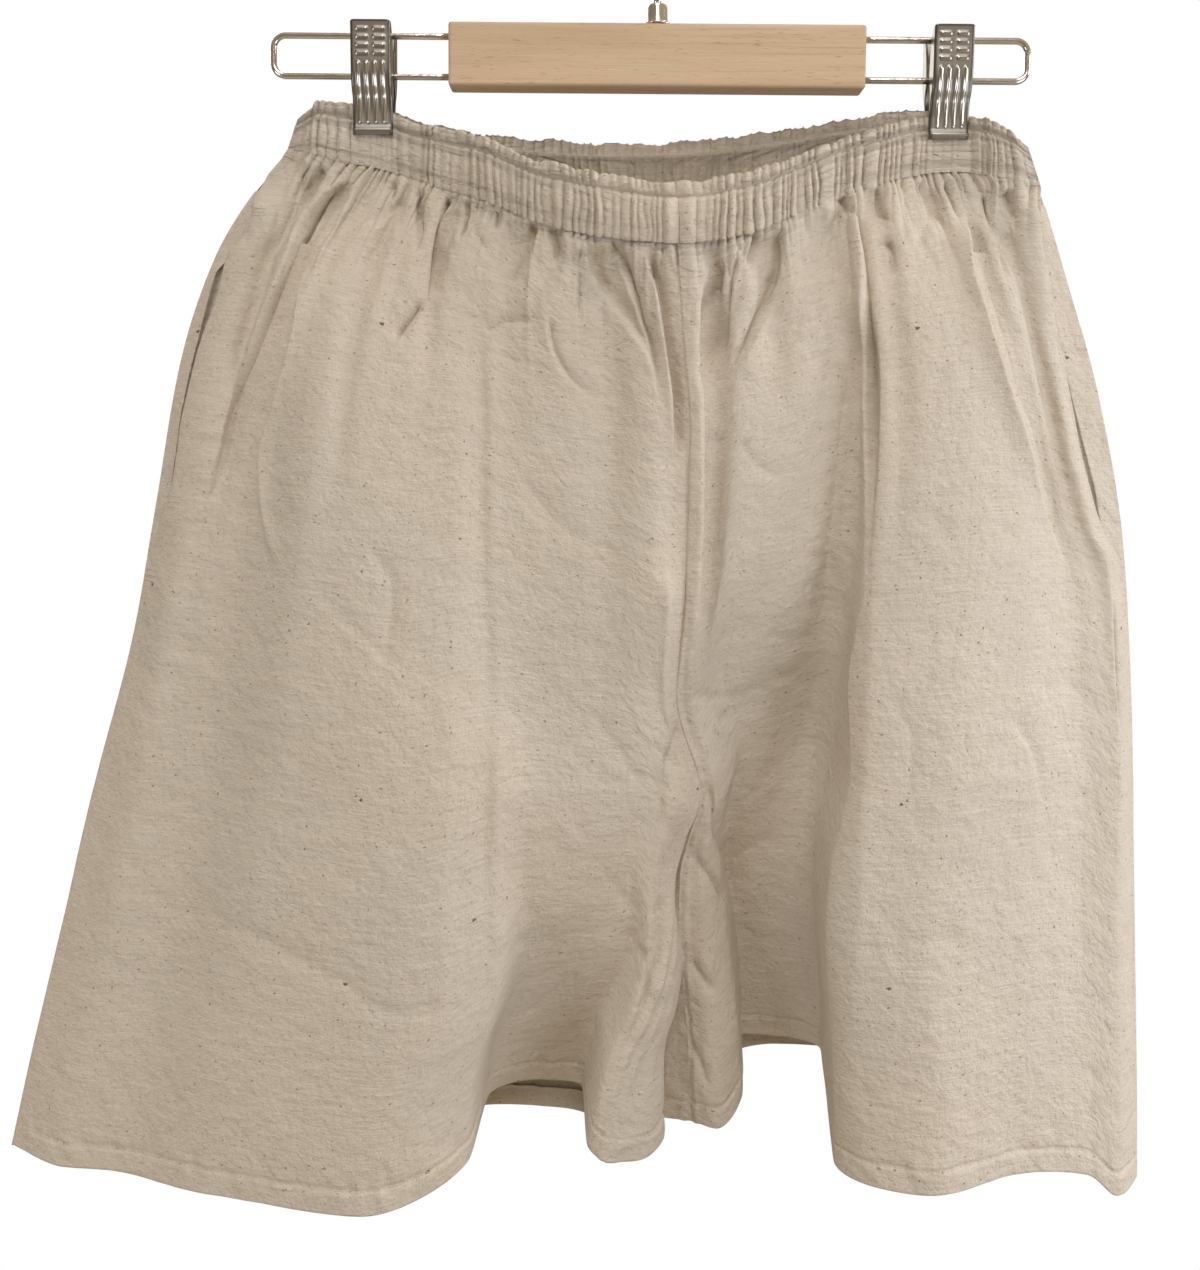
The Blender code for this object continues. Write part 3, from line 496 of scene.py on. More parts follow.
# Columns: u, then the place between the edges at band, seat, crotch and hem, then the depth at hip, seat,
# crotch and hem, then the hem's height.
LINES = {
    "front_left": np.array([
        (0.00, 0.000, 0.000, 0.000, 0.000, 0.0, 0.0, 0.0, 0.0, -660.0),
        (0.10, 0.090, 0.095, 0.100, 0.110, -17.0, -20.0, -18.0, -17.0, -662.0),
        (0.20, 0.180, 0.180, 0.170, 0.190, -22.0, -20.0, -17.0, -20.0, -662.0),
        (0.38, 0.300, 0.330, 0.340, 0.380, -28.0, -40.0, -44.0, -44.0, -660.0),
        (0.55, 0.420, 0.480, 0.530, 0.620, -28.0, -43.0, -53.0, -58.0, -662.0),
        (0.70, 0.523, 0.600, 0.665, 0.780, -28.0, -39.0, -46.0, -38.0, -645.0),
        (0.76, 0.600, 0.670, 0.730, 0.800, -30.0, -35.0, -37.0, 20.0, -640.0),
        (0.83, 0.720, 0.780, 0.820, 0.880, -33.0, -36.0, -33.0, 37.0, -641.0),
        (0.90, 0.860, 0.880, 0.900, 0.958, -36.0, -39.0, -30.0, 28.0, -639.0),
        (0.95, 0.930, 0.935, 0.950, 0.972, -38.0, -40.0, -24.0, -7.0, -655.0),
        (1.00, 1.000, 1.000, 1.000, 1.000, -36.0, -33.0, -3.0, -12.0, HEM_SEAM_Z)]),
    "front_right": np.array([
        (0.00, 0.000, 0.000, 0.000, 0.000, 0.0, 0.0, 0.0, 0.0, -672.0),
        (0.09, 0.080, 0.060, 0.060, 0.070, -14.0, -16.0, -15.0, -16.0, -674.0),
        (0.18, 0.180, 0.140, 0.130, 0.150, -18.0, -16.0, -16.0, -20.0, -660.0),
        (0.30, 0.280, 0.280, 0.300, 0.320, -23.0, -32.0, -35.0, -30.0, -654.0),
        (0.44, 0.380, 0.440, 0.500, 0.520, -28.0, -41.0, -47.0, -48.0, -655.0),
        (0.58, 0.500, 0.600, 0.690, 0.704, -30.0, -38.0, -39.0, -24.0, -652.0),
        (0.63, 0.560, 0.650, 0.720, 0.684, -26.0, -27.0, -4.0, 42.0, -625.0),
        (0.72, 0.700, 0.750, 0.810, 0.780, -30.0, -27.0, 8.0, 54.0, -622.0),
        (0.82, 0.830, 0.880, 0.900, 0.872, -34.0, -31.0, 6.0, 51.0, -620.0),
        (0.87, 0.890, 0.930, 0.935, 0.886, -36.0, -34.0, 2.0, 25.0, -644.0),
        (0.94, 0.950, 0.970, 0.970, 0.940, -38.0, -35.0, -3.0, 23.0, -661.0),
        (1.00, 1.000, 1.000, 1.000, 1.000, -36.0, -33.0, -3.0, 30.0, HEM_SEAM_Z)]),
    "back_left": np.array([
        (0.00, 0.000, 0.000, 0.000, 0.000, 0.0, 0.0, 0.0, 0.0, -660.0),
        (0.12, 0.100, 0.100, 0.100, 0.100, 11.0, 15.0, 17.0, 17.0, -662.0),
        (0.28, 0.270, 0.270, 0.270, 0.270, 15.0, 31.0, 38.0, 40.0, -664.0),
        (0.42, 0.420, 0.420, 0.430, 0.440, 17.0, 33.0, 38.0, 30.0, -666.0),
        (0.56, 0.570, 0.570, 0.590, 0.630, 19.0, 38.0, 48.0, 62.0, -672.0),
        (0.69, 0.710, 0.710, 0.740, 0.790, 20.0, 39.0, 49.0, 62.0, -670.0),
        (0.80, 0.830, 0.830, 0.870, 0.920, 20.0, 41.0, 45.0, 56.0, -668.0),
        (0.88, 0.910, 0.910, 0.905, 1.005, 20.0, 41.0, 31.0, 36.0, -664.0),
        (0.93, 0.950, 0.950, 0.952, 1.097, 20.0, 41.0, 19.0, 9.0, -657.0),
        (0.965, 0.975, 0.975, 0.970, 1.062, 20.0, 41.0, 9.0, -6.0, -662.0),
        (1.00, 1.000, 1.000, 1.000, 1.000, 20.0, 41.0, -3.0, -12.0, HEM_SEAM_Z)]),
    "back_right": np.array([
        (0.00, 0.000, 0.000, 0.000, 0.000, 0.0, 0.0, 0.0, 0.0, -672.0),
        (0.12, 0.100, 0.100, 0.100, 0.100, 11.0, 14.0, 16.0, 16.0, -668.0),
        (0.28, 0.270, 0.270, 0.270, 0.270, 14.0, 28.0, 34.0, 30.0, -655.0),
        (0.42, 0.420, 0.420, 0.430, 0.430, 16.0, 32.0, 38.0, 46.0, -645.0),
        (0.56, 0.580, 0.580, 0.600, 0.600, 19.0, 37.0, 46.0, 68.0, -637.0),
        (0.70, 0.730, 0.730, 0.760, 0.780, 20.0, 38.0, 48.0, 70.0, -635.0),
        (0.81, 0.850, 0.850, 0.890, 0.920, 20.0, 40.0, 44.0, 66.0, -640.0),
        (0.90, 0.930, 0.930, 0.955, 1.030, 20.0, 41.0, 33.0, 56.0, -655.0),
        (0.955, 0.970, 0.970, 0.962, 1.078, 20.0, 41.0, 14.0, 42.0, -664.0),
        (1.00, 1.000, 1.000, 1.000, 1.000, 20.0, 41.0, -3.0, 30.0, HEM_SEAM_Z)])}
# Depth of the seams between the panels: v, front_y, back_y above the crotch and v, left_y, right_y below it.
CENTRE_SEAMS = np.array([(0.14, -36.0, 20.0), (0.35, -33.0, 41.0), (0.48, -24.0, 33.0), (0.55, -14.0, 17.0),
                         (0.61, -3.0, -3.0)])
INSEAMS = np.array([(0.61, -3.0, -3.0), (0.72, -5.0, 6.0), (0.86, -8.5, 20.0), (1.00, -12.0, 30.0)])
# Large pleats from the band's seam: line u, half width in u, end v, depth.
PLEATS = {
    "front_left": ((0.115, 0.030, 0.70, 8.0), (0.231, 0.028, 0.24, 6.0), (0.308, 0.026, 0.18, 4.5),
                   (0.423, 0.026, 0.40, 7.0), (0.500, 0.026, 0.18, 4.5), (0.615, 0.028, 0.26, 5.5),
                   (0.769, 0.028, 0.34, 6.0), (0.885, 0.026, 0.62, 8.0)),
    "front_right": ((0.115, 0.030, 0.62, 6.0), (0.231, 0.028, 0.20, 5.0), (0.346, 0.026, 0.18, 4.5),
                    (0.423, 0.026, 0.14, 4.0), (0.538, 0.026, 0.50, 5.0), (0.654, 0.028, 0.30, 6.0),
                    (0.769, 0.028, 0.30, 6.0), (0.885, 0.026, 0.70, 8.0)),
    "back": ((0.115, 0.028, 0.34, 3.0), (0.231, 0.028, 0.20, 5.0), (0.308, 0.026, 0.30, 5.5),
             (0.423, 0.026, 0.18, 4.5), (0.538, 0.028, 0.42, 6.5), (0.654, 0.026, 0.18, 4.5),
             (0.769, 0.028, 0.34, 6.0), (0.885, 0.026, 0.24, 5.0))}
# In-seam pockets, from top to bottom: height, how far the front's edge stands in, and the rear strip's width.
POCKETS = {
    "left": np.array([(-146.0, 0.0, 0.0), (-157.0, 4.5, 4.0), (-168.0, 10.5, 9.5), (-178.6, 12.5, 11.0),
                      (-188.0, 9.5, 9.0), (-196.0, 10.5, 5.5), (-209.6, 12.4, 6.5), (-231.0, 11.0, 7.5),
                      (-253.0, 10.3, 7.4), (-272.0, 9.4, 6.8), (-286.0, 9.8, 7.4), (-303.0, 9.8, 7.8),
                      (-313.0, 9.0, 8.7), (-323.0, 6.0, 8.0), (-350.0, 0.0, 6.0)]),
    "right": np.array([(-150.0, 0.0, 0.0), (-161.0, 5.5, 5.0), (-172.0, 10.5, 10.0), (-198.0, 13.0, 12.5),
                       (-214.0, 15.5, 13.5), (-239.0, 18.0, 16.3), (-260.0, 18.5, 15.5), (-280.0, 19.0, 14.5),
                       (-305.0, 17.0, 13.0), (-325.0, 13.0, 12.7), (-336.0, 7.0, 11.0), (-365.0, 0.0, 8.0)])}
print("lines down the cloth:", {name: len(lines) for name, lines in LINES.items()})

# %% [markdown]
# ## Creases
#
# Worn cloth keeps the marks of its folds. Noise would crease it evenly everywhere, which no cloth does, so
# the folds and washing creases that show are laid one by one, and like ones at the back. A row gives a
# crease's width, its depth, its lean and the points that it passes. A lean of 0 is an even trough, and 1 or
# -1 is the edge of a fold, with the cloth on one side standing proud.

# %% Creases laid one by one
CREASE_SCALE = 2.8
CREASES = {
    # width in mm, depth in CREASE_SCALE, lean, points (x, z) in mm
    "front_left": (
        (2.6, 2.2, 0.0, ((-171, -142), (-175, -153), (-183, -165))),
        (5.0, 4.2, 0.8, ((-159, -148), (-169, -160), (-177, -173), (-184, -193), (-194, -218), (-202, -238),
                         (-214, -260), (-223, -295), (-229, -316))),
        (3.5, -1.8, 0.3, ((-172, -180), (-178, -209), (-182, -234), (-191, -261), (-199, -288), (-198, -313),
                          (-190, -339), (-182, -346))),
        (2.4, 2.4, 0.2, ((-135, -149), (-135, -155), (-136, -163))),
        (2.6, 3.2, 0.3, ((-122, -154), (-122, -167), (-122, -188))),
        (3.2, 4.2, 0.4, ((-108, -156), (-110, -169), (-113, -193), (-116, -217))),
        (3.2, 3.0, -0.3, ((-116, -212), (-126, -224), (-131, -232))),
        (2.6, 2.6, 0.2, ((-97, -160), (-99, -171), (-101, -182))),
        (4.0, 0.84, 0.0, ((-128, -160), (-141, -166), (-157, -173))),
        (2.2, 2.2, 0.0, ((-82, -165), (-82, -170), (-83, -177))),
        (3.0, 3.0, 0.3, ((-65, -172), (-67, -183), (-71, -195), (-76, -207))),
        (11.0, 0.66, -0.9, ((-87, -181), (-86, -260), (-85, -338), (-82, -408), (-82, -541), (-83, -621))),
        (2.6, 1.6, 0.3, ((-87, -227), (-74, -221), (-56, -222))),
        (2.6, 1.6, 0.6, ((-56, -219), (-54, -233), (-46, -248), (-35, -257), (-27, -261))),
        (2.4, 2.2, 0.0, ((-53, -174), (-52, -185), (-54, -195))),
        (3.0, 1.8, 0.2, ((-42, -186), (-41, -207), (-42, -223))),
        (6.0, 3.0, 0.5, ((-38, -185), (-29, -204), (-18, -221), (-9, -233), (0, -252))),
        (3.6, 3.0, 0.5, ((-26, -184), (-18, -201), (-11, -220), (-6, -232), (-3, -249), (-1, -264))),
        (4.0, 4.4, 0.6, ((-9, -186), (-2, -210), (2, -232), (6, -260), (7, -282), (5, -296))),
        (5.0, -2.0, 0.0, ((3, -337), (1, -392), (3, -422), (13, -446))),
        (4.0, 2.0, 0.2, ((14, -417), (7, -438), (3, -466), (-1, -499))),
        (3.0, 0.6, 0.4, ((-169, -354), (-145, -375), (-125, -394))),
        (4.0, 0.78, 0.3, ((-251, -522), (-213, -524), (-177, -537), (-151, -549), (-131, -560), (-100, -560),
                         (-89, -552))),
        (5.0, 0.54, 0.2, ((-253, -379), (-235, -387), (-212, -404))),
        (5.0, 0.6, -0.2, ((-69, -294), (-50, -318), (-15, -338))),
        (4.0, 0.54, 0.3, ((-76, -533), (-59, -541), (-28, -535), (-8, -522))),
        (6.0, 0.84, 0.2, ((-142, -331), (-131, -353), (-133, -378), (-143, -403))),
        (3.0, 0.84, 0.0, ((-69, -595), (-48, -572), (-36, -562))),
        (3.0, 1.6, 0.3, ((2, -512), (3, -541), (-5, -572), (-17, -604))),
        (3.0, 0.84, 0.0, ((-8, -541), (-2, -561), (-8, -588))),
        (2.4, 0.6, 0.3, ((-14, -446), (-4, -450), (7, -455), (17, -462))),
        (2.6, 0.72, 0.4, ((-2, -432), (6, -440), (13, -450))),
        (6.0, 0.48, -0.3, ((-32, -413), (-16, -436), (-2, -462))),
        (6.0, 0.54, 0.3, ((-34, -490), (-20, -512), (-6, -530))),
        (18.0, -0.9, 0.0, ((-99, -215), (-100, -330), (-103, -450), (-106, -560), (-108, -640))),
        (2.6, 0.42, 0.3, ((-16, -532), (-6, -546), (4, -544))),
        (2.4, 0.6, 0.3, ((-24, -586), (-14, -597), (-5, -600)))),
    "front_right": (
        (15.0, 6.0, 0.0, ((98, -205), (90, -290), (84, -370), (80, -450), (80, -520))),
        (1.8, 0.72, 0.5, ((231, -325), (232.8, -372), (236.3, -406), (240.5, -430), (243, -455))),
        (8.0, 3.6, 0.5, ((19, -196), (21, -259), (23, -318), (21, -367), (15, -412))),
        (3.0, 3.0, -0.3, ((30, -189), (25, -214), (20, -241), (18, -257))),
        (3.0, 2.4, -0.3, ((37, -188), (32, -210), (28, -232), (24, -261))),
        (4.0, 3.4, -0.5, ((58, -174), (57, -191), (54, -206), (47, -223), (38, -240), (29, -256))),
        (2.4, 2.4, 0.0, ((45, -178), (44, -187), (42, -196))),
        (4.6, 3.6, 0.8, ((95, -156), (98, -178), (100, -195), (99, -226), (100, -267), (101, -307),
                         (100, -376))),
        (2.6, 2.6, 0.0, ((89, -157), (93, -165), (100, -171))),
        (3.0, 2.2, 0.2, ((107, -151), (109, -165), (116, -170))),
        (3.0, 2.2, 0.3, ((110, -178), (113, -186), (113, -202))),
        (2.6, 2.6, 0.2, ((130, -147), (136, -160), (141, -174))),
        (2.6, 2.4, 0.2, ((143, -147), (147, -158), (151, -169))),
        (5.2, 4.6, 0.8, ((154, -165), (154, -189), (160, -217), (166, -239), (176, -266), (185, -289),
                         (195, -314), (208, -343))),
        (3.0, 2.8, 0.3, ((161, -152), (164, -165), (170, -177), (171, -202))),
        (3.0, 2.0, 0.3, ((172, -152), (176, -162), (178, -174))),
        (4.0, 0.78, 0.3, ((15, -410), (40, -413), (63, -405), (84, -395))),
        (3.6, 0.66, -0.3, ((31, -425), (51, -415), (76, -410))),
        (5.0, 0.72, 0.3, ((55, -377), (70, -384), (88, -383))),
        (4.0, 0.54, 0.2, ((61, -227), (72, -234), (77, -248))),
        (4.0, 0.6, 0.2, ((37, -278), (48, -292), (63, -299))),
        (5.0, 0.42, 0.0, ((231, -601), (230, -623), (225, -644))),
        (5.0, 0.72, 0.2, ((193, -406), (206, -401), (223, -406))),
        (6.0, 0.78, 0.3, ((175, -416), (188, -436), (195, -472))),
        (5.0, 0.54, 0.2, ((112, -401), (123, -427), (121, -457))),
        (4.0, 0.54, 0.0, ((113, -534), (138, -524), (166, -529))),
        (3.0, 0.72, 0.3, ((44, -512), (59, -499), (77, -494))),
        (4.0, 1.6, 0.4, ((27, -458), (32, -483), (42, -512), (47, -543))),
        (2.4, 2.0, 0.4, ((16, -496), (23, -503), (31, -512), (38, -526), (40, -540))),
        (2.0, 0.84, 0.2, ((14, -486), (22, -494), (31, -498))),
        (16.0, -1.6, 0.0, ((104, -200), (104, -320), (102, -430), (99, -540), (97, -640))),
        (2.6, 1.6, 0.3, ((20, -560), (30, -574), (38, -580))),
        (2.6, 1.6, 0.3, ((19, -610), (27, -622), (33, -640)))),
    "back_left": (
        (3.0, 2.6, 0.2, ((-170, -142), (-176, -160), (-186, -182))),
        (4.6, 3.6, 0.7, ((-150, -145), (-160, -190), (-178, -248), (-190, -300))),
        (3.0, 3.0, 0.3, ((-124, -148), (-128, -176), (-130, -204))),
        (3.2, 2.4, -0.3, ((-98, -152), (-96, -180), (-101, -216))),
        (6.0, 2.4, 0.7, ((-84, -153), (-86, -240), (-92, -350), (-96, -470), (-104, -600))),
        (2.8, 2.6, 0.2, ((-62, -154), (-60, -178), (-64, -196))),
        (3.0, 2.6, 0.4, ((-38, -155), (-30, -190), (-18, -228))),
        (3.6, 3.2, 0.5, ((-14, -155), (-8, -200), (-2, -256))),
        (4.0, 0.72, 0.3, ((-220, -360), (-170, -392), (-120, -402))),
        (4.0, 0.78, 0.3, ((-260, -520), (-205, -545), (-150, -548))),
        (5.0, 0.72, 0.2, ((-40, -330), (-22, -368), (4, -400))),
        (4.0, 2.2, 0.3, ((8, -400), (0, -440), (-6, -490)))),
    "back_right": (
        (3.0, 2.6, 0.2, ((172, -148), (178, -166), (184, -190))),
        (4.6, 3.4, -0.7, ((150, -144), (158, -190), (174, -250), (188, -310))),
        (3.0, 3.0, 0.3, ((128, -143), (130, -170), (134, -200))),
        (3.2, 2.4, -0.3, ((104, -145), (104, -180), (108, -220))),
        (6.0, 2.4, 0.7, ((80, -148), (84, -240), (92, -350), (98, -470), (104, -600))),
        (2.8, 2.6, 0.2, ((60, -152), (58, -176), (61, -196))),
        (3.0, 2.6, 0.4, ((38, -153), (32, -190), (24, -226))),
        (3.6, 3.2, 0.5, ((20, -154), (18, -200), (14, -262))),
        (4.0, 0.72, 0.3, ((220, -350), (172, -386), (124, -398))),
        (4.0, 0.78, 0.3, ((236, -530), (190, -548), (140, -546))),
        (5.0, 0.72, 0.2, ((60, -320), (40, -362), (22, -396))),
        (4.0, 2.2, 0.3, ((20, -404), (30, -444), (36, -496))))}
print("creases:", {name: len(rows) for name, rows in CREASES.items()})

# %% [markdown]
# ## From a crease to a depth
#
# A crease is a smooth line through its points, taken as short straight lengths. For each point of the cloth,
# the nearest length gives the distance and the side. The creases could be painted as a picture of heights,
# but a picture has a grain of its own and a formula has none. A crease fades in soon after its start and
# dies out slowly at its end, as a pulled fold does.

# %% Crease and crumple
FADE_IN, FADE_OUT = 0.12, 0.40


def crease_depth(x, z, creases):
    """Sum of creases: exp(-distance / width) about a smooth line, mixed by the lean with tanh(distance)
    across it, which stands proud on one side; faded at both ends."""
    total = np.zeros_like(x)
    for width, depth, lean, path in creases:
        path = np.array(path, float)
        run = np.linspace(0.0, len(path) - 1.0, 8 * len(path))
        line = np.stack([smooth(np.arange(len(path)), path[:, k], run) for k in (0, 1)], axis=1)
        reach = 3.5 * width
        near = ((x > line[:, 0].min() - reach) & (x < line[:, 0].max() + reach)
                & (z > line[:, 1].min() - reach) & (z < line[:, 1].max() + reach))
        start, step = line[:-1], np.diff(line, axis=0)
        dx, dz = x[near][:, None] - start[:, 0], z[near][:, None] - start[:, 1]
        size = np.maximum((step**2).sum(axis=1), 1e-9)
        t = np.clip((dx * step[:, 0] + dz * step[:, 1]) / size, 0.0, 1.0)
        away = np.hypot(dx - t * step[:, 0], dz - t * step[:, 1])
        side = np.sign(dx * step[:, 1] - dz * step[:, 0])
        pick = away.argmin(axis=1)
        rows = np.arange(len(pick))
        gap, side = away[rows, pick], -side[rows, pick]
        along = (pick + t[rows, pick]) / len(step)
        fade = ease(along / FADE_IN) * ease((1.0 - along) / FADE_OUT)
        core = max(0.45, 0.32 * (width - 1.5))
        soft = np.exp(-np.sqrt(gap**2 + 0.2 * core**2) / (0.8 * width))
        total[near] += depth * fade * soft * ((1.0 - abs(lean)) + lean * 1.15 * np.tanh(gap * side / core))
    return total


def crumple(x, z, size, seed):
    """Round pillows parted by sharp valleys: the size of a smooth random height, at two scales."""
    coarse, fine = wander(x, z, size, seed), wander(z, x, size * 0.45, seed + 50)
    return (np.abs(coarse)**0.8 + 0.45 * np.abs(fine)**0.8) - 0.5


trial = crease_depth(np.array([30.0, 35.0]), np.array([-214.0, -214.0]),
                     [(3.0, 1.0, 0.0, ((30, -189), (30, -240)))])
print("a crease of depth 1, on its line and 5 mm off:", trial.round(2))

# %% [markdown]
# ## Gathers
#
# Elastic draws the cloth into a row of small gathers. Each leaves the band as a short ridge that dies out
# after one to three centimetres, and a few run on as folds. A sine wave has the right beat, but its valleys
# are as round as its ridges. Its size, raised to a power under one, gives the round ridges and sharp valleys
# of drawn cloth, and random widths, sizes and lengths keep any two from being alike.

# %% Gathers
GATHERS = 92
SPARE = 5
gather_luck = np.random.default_rng(11)
GATHER_REACH = gather_luck.uniform(5.0, 18.0, GATHERS + SPARE)
GATHER_REACH = GATHER_REACH + 22.0 * (gather_luck.uniform(size=GATHERS + SPARE) > 0.80)
GATHER_SIZE = gather_luck.uniform(0.50, 1.40, GATHERS + SPARE)


def gather(x, seed=0):
    """|sin(pi * count)|^0.45 along the band, 0 in the valleys; also how far each ridge runs down, in mm."""
    run = (x - BAND[0, 0]) / (BAND[-1, 0] - BAND[0, 0]) * GATHERS
    run = run + 1.10 * wander(x, x * 0 + 40.0 * seed, 15.0, 3 + seed) + 0.42 * wander(x, x * 0, 6.0, 5 + seed)
    knot = np.clip(np.floor(run).astype(int) + 2, 0, GATHERS + SPARE - 1)
    return np.abs(np.sin(math.pi * run))**0.45 * GATHER_SIZE[knot], GATHER_REACH[knot]


print("a gather is", round((BAND[-1, 0] - BAND[0, 0]) / GATHERS, 1), "mm wide")

# %% [markdown]
# ## The four panels
#
# Fronts and backs are one formula with different tables. Along the top each panel tucks in behind the band.
# The fronts' side edges stand off at the pockets, and the backs' side edges follow them. This first step
# gives the hanging form alone, with the large folds, so that the pocket bags can follow it too.

# %% The panel's form
POCKET_STAND = 10.5


def panel_base(name, u, v):
    """x = side edge + share * (inner seam - side edge); also depth and height. All are smooth curves through
    the tables."""
    half, leg = name.split("_")
    front, left = half == "front", leg == "left"
    lines = LINES[name]
    seam_z = BAND_SEAM[half]
    crotch_v = (CROTCH_Z - seam_z) / (HEM_SEAM_Z - seam_z)
    warp = np.where(v < crotch_v, v / crotch_v * CROTCH,
                    CROTCH + (v - crotch_v) / (1 - crotch_v) * (1 - CROTCH))
    flare = np.where(warp < CROTCH, warp, CROTCH + (1 - CROTCH)
                     * (np.maximum(warp - CROTCH, 0.0) / (1 - CROTCH))**(0.7 if left else 0.35))
    columns = smooth(lines[:, 0], lines[:, 1:], u)
    edge = smooth(OUTLINE[:, 0], OUTLINE[:, 1 if left else 2], warp)[:, None]
    seam = smooth(OUTLINE[:, 0], OUTLINE[:, 3 if left else 4], warp)[:, None]
    share = smooth((0.0, SEAT, CROTCH, 1.0), columns[:, :4].T, flare)
    x = edge + share * (seam - edge)
    x_band = BAND_EDGE[leg] + columns[:, 0] * (OUTLINE[0, 3] - BAND_EDGE[leg])
    y_band = band_at(x_band, 1 if front else 4)
    z_band = band_at(x_band, 3 if front else 6) - 0.6
    y = smooth((0.0, 0.14, SEAT, CROTCH, 1.0), np.vstack([y_band, columns[:, 4:8].T]), warp)
    centre_y = (y_band[-1], *CENTRE_SEAMS[:, 1 if front else 2])
    seam_y = np.where(warp < CROTCH, smooth((0.0, *CENTRE_SEAMS[:, 0]), centre_y, warp),
                      smooth(INSEAMS[:, 0], INSEAMS[:, 1 if left else 2], warp))
    y = y + (seam_y[:, None] - y[:, -1:]) * ease((u - 0.965) / 0.035)
    z = z_band + (columns[:, 8] - z_band) * v[:, None]
    return x, y, z, x_band


def pocket_edge(z, leg, column):
    """The pocket's table read at height z: 1 is the front edge's inset, 2 the rear strip's width."""
    table = POCKETS[leg][::-1]
    return np.where((z > table[0, 0]) & (z < table[-1, 0]), smooth(table[:, 0], table[:, column], z), 0.0)


def panel_form(name, u, v):
    """The tables' surface - pleat depth * bell(u) * fade(v); the pocket's edge is moved in and stood off."""
    half, leg = name.split("_")
    side = -1.0 if half == "front" else 1.0
    x, y, z, x_band = panel_base(name, u, v)
    for line, width, end, amount in PLEATS[name if half == "front" else "back"]:
        fade = (1 - ease(v / end)) * ease(v / 0.03)
        y = y - side * 0.8 * amount * fade[:, None] * bell(u - line, width)
    if half == "back":
        front = panel_base("front_" + leg, np.array([0.0, 1.0]), v)
        shift = np.interp(-z[:, 0], -front[2][:, 0], front[0][:, 0]) - x[:, 0]
        x = x + shift[:, None] * (1 - ease(u / 0.12))
    if half == "front":
        inset = pocket_edge(z, leg, 1)
        x = x + (1.0 if leg == "left" else -1.0) * inset * (1 - ease(u / 0.34))
        y = y - POCKET_STAND * ease(inset / 9.0) * (1 - ease(u / 0.10))
    return np.stack([x, y, z], axis=2), x_band


def outward(name, points):
    """The surface's unit normals, turned to the outside of the garment."""
    out = facing(points)
    return out * np.sign(out[:, :, 1].mean()) * (-1.0 if name.startswith("front") else 1.0)


for name in LINES:
    form, _ = panel_form(name, np.linspace(0.0, 1.0, 9), np.linspace(0.0, 1.0, 9))
    print(name, "hangs", round(float(np.ptp(form[:, :, 2]))), "mm long")

# %% [markdown]
# ## The panels' fine folds
#
# Everything finer stands along the cloth's own normal, so a ridge on a curved fold leans as it should.
# Sculpting could add it, but a sum of terms can be read and changed: gathers by the band, creases laid one
# by one, a soft crumple, the seams' ridges and the hem's puckers. The grid has more rows by the band and the
# hem, where the form is finest.

# %% The panel's fine folds
PANEL_GRIDS = {"front": (366, 214), "back": (252, 180)}
GATHER_RISE, GATHER_SINK = 4.6, 2.8
HEM_START, HEM_ROWS = 0.962, 20


def panel(name, columns, rows):
    """Form + normal * (gathers - creases + crumple + wander + hem + seam), eased to nothing at both sides."""
    half, leg = name.split("_")
    u = np.linspace(0.0, 1.0, columns)
    v = np.concatenate([HEM_START * np.linspace(0.0, 1.0, rows - HEM_ROWS)**1.30,
                        np.linspace(HEM_START, 1.0, HEM_ROWS + 1)[1:]])
    base, x_band = panel_form(name, u, v)
    out = outward(name, base)
    x, z = base[:, :, 0], base[:, :, 2]
    below = z[:1] - z
    seed = len(name) + (1 if leg == "left" else 5)
    # gathers that lean a little as they leave the band
    leaning = 0.16 * wander(x_band, x_band * 0.0, 11.0, seed + 9)
    ridge, reach = gather(x_band + leaning * np.minimum(below, 20.0), 0 if half == "front" else 1)
    lift = GATHER_RISE * ridge * np.exp(-(below / reach)**1.4) - GATHER_SINK * np.exp(-(below / 12.0)**1.4)
    lift = lift * (0.60 + 0.40 * ease(below / 5.0))
    lift = lift - CREASE_SCALE * crease_depth(x, z, CREASES[name])
    # crumple, strong near the band and faint below it
    near_band = np.exp(-below / 36.0) * ease(below / 6.0)
    lift = lift + 4.2 * crumple(x, z * 0.55, 13.0, seed) * near_band
    lift = lift + 0.45 * wander(x, z, 34.0, seed + 2) + 0.40 * crumple(x, z * 0.8, 30.0, seed + 3)
    lift = lift + 0.9 * wander(x, z * 0.35, 60.0, seed + 4)
    # the hem: a groove where it is stitched, and puckers on both sides of the thread
    above_hem = z - z[-1:]
    pucker = wander(x, z * 0.3, 5.0, seed + 6)
    lift = lift - 0.85 * bell(above_hem - HEM_DEPTH, 1.3) + 1.0 * pucker * bell(above_hem - HEM_DEPTH, 6.0)
    # the inner seam: a ridge of turned cloth, and puckers beside it
    spans = np.linalg.norm(np.diff(base[:, ::-1], axis=1, prepend=base[:, -1:]), axis=2)
    from_seam = np.cumsum(spans, axis=1)[:, ::-1]
    leg_part = ease((CROTCH_Z + 6.0 - z) / 14.0)
    seam_pucker = wander(z, x, 8.0, 77)
    lift = lift + leg_part * (0.9 * bell(from_seam - 3.6, 1.9) + 0.9 * seam_pucker * bell(from_seam, 15.0))
    # the hem's double cloth, and both side edges left where the next panel meets them
    lift = lift + 0.40 * (above_hem < HEM_DEPTH)
    lift = lift * ease(u / 0.010) * ease((1 - u) / 0.008)
    points = base + out * lift[:, :, None]
    seam_dip = 1.0 * ease((z - CROTCH_Z) / 25.0) * bell((1 - u) * 250.0, 1.3)
    points[:, :, 1] += seam_dip * (1.0 if half == "front" else -1.0)
    return points, out


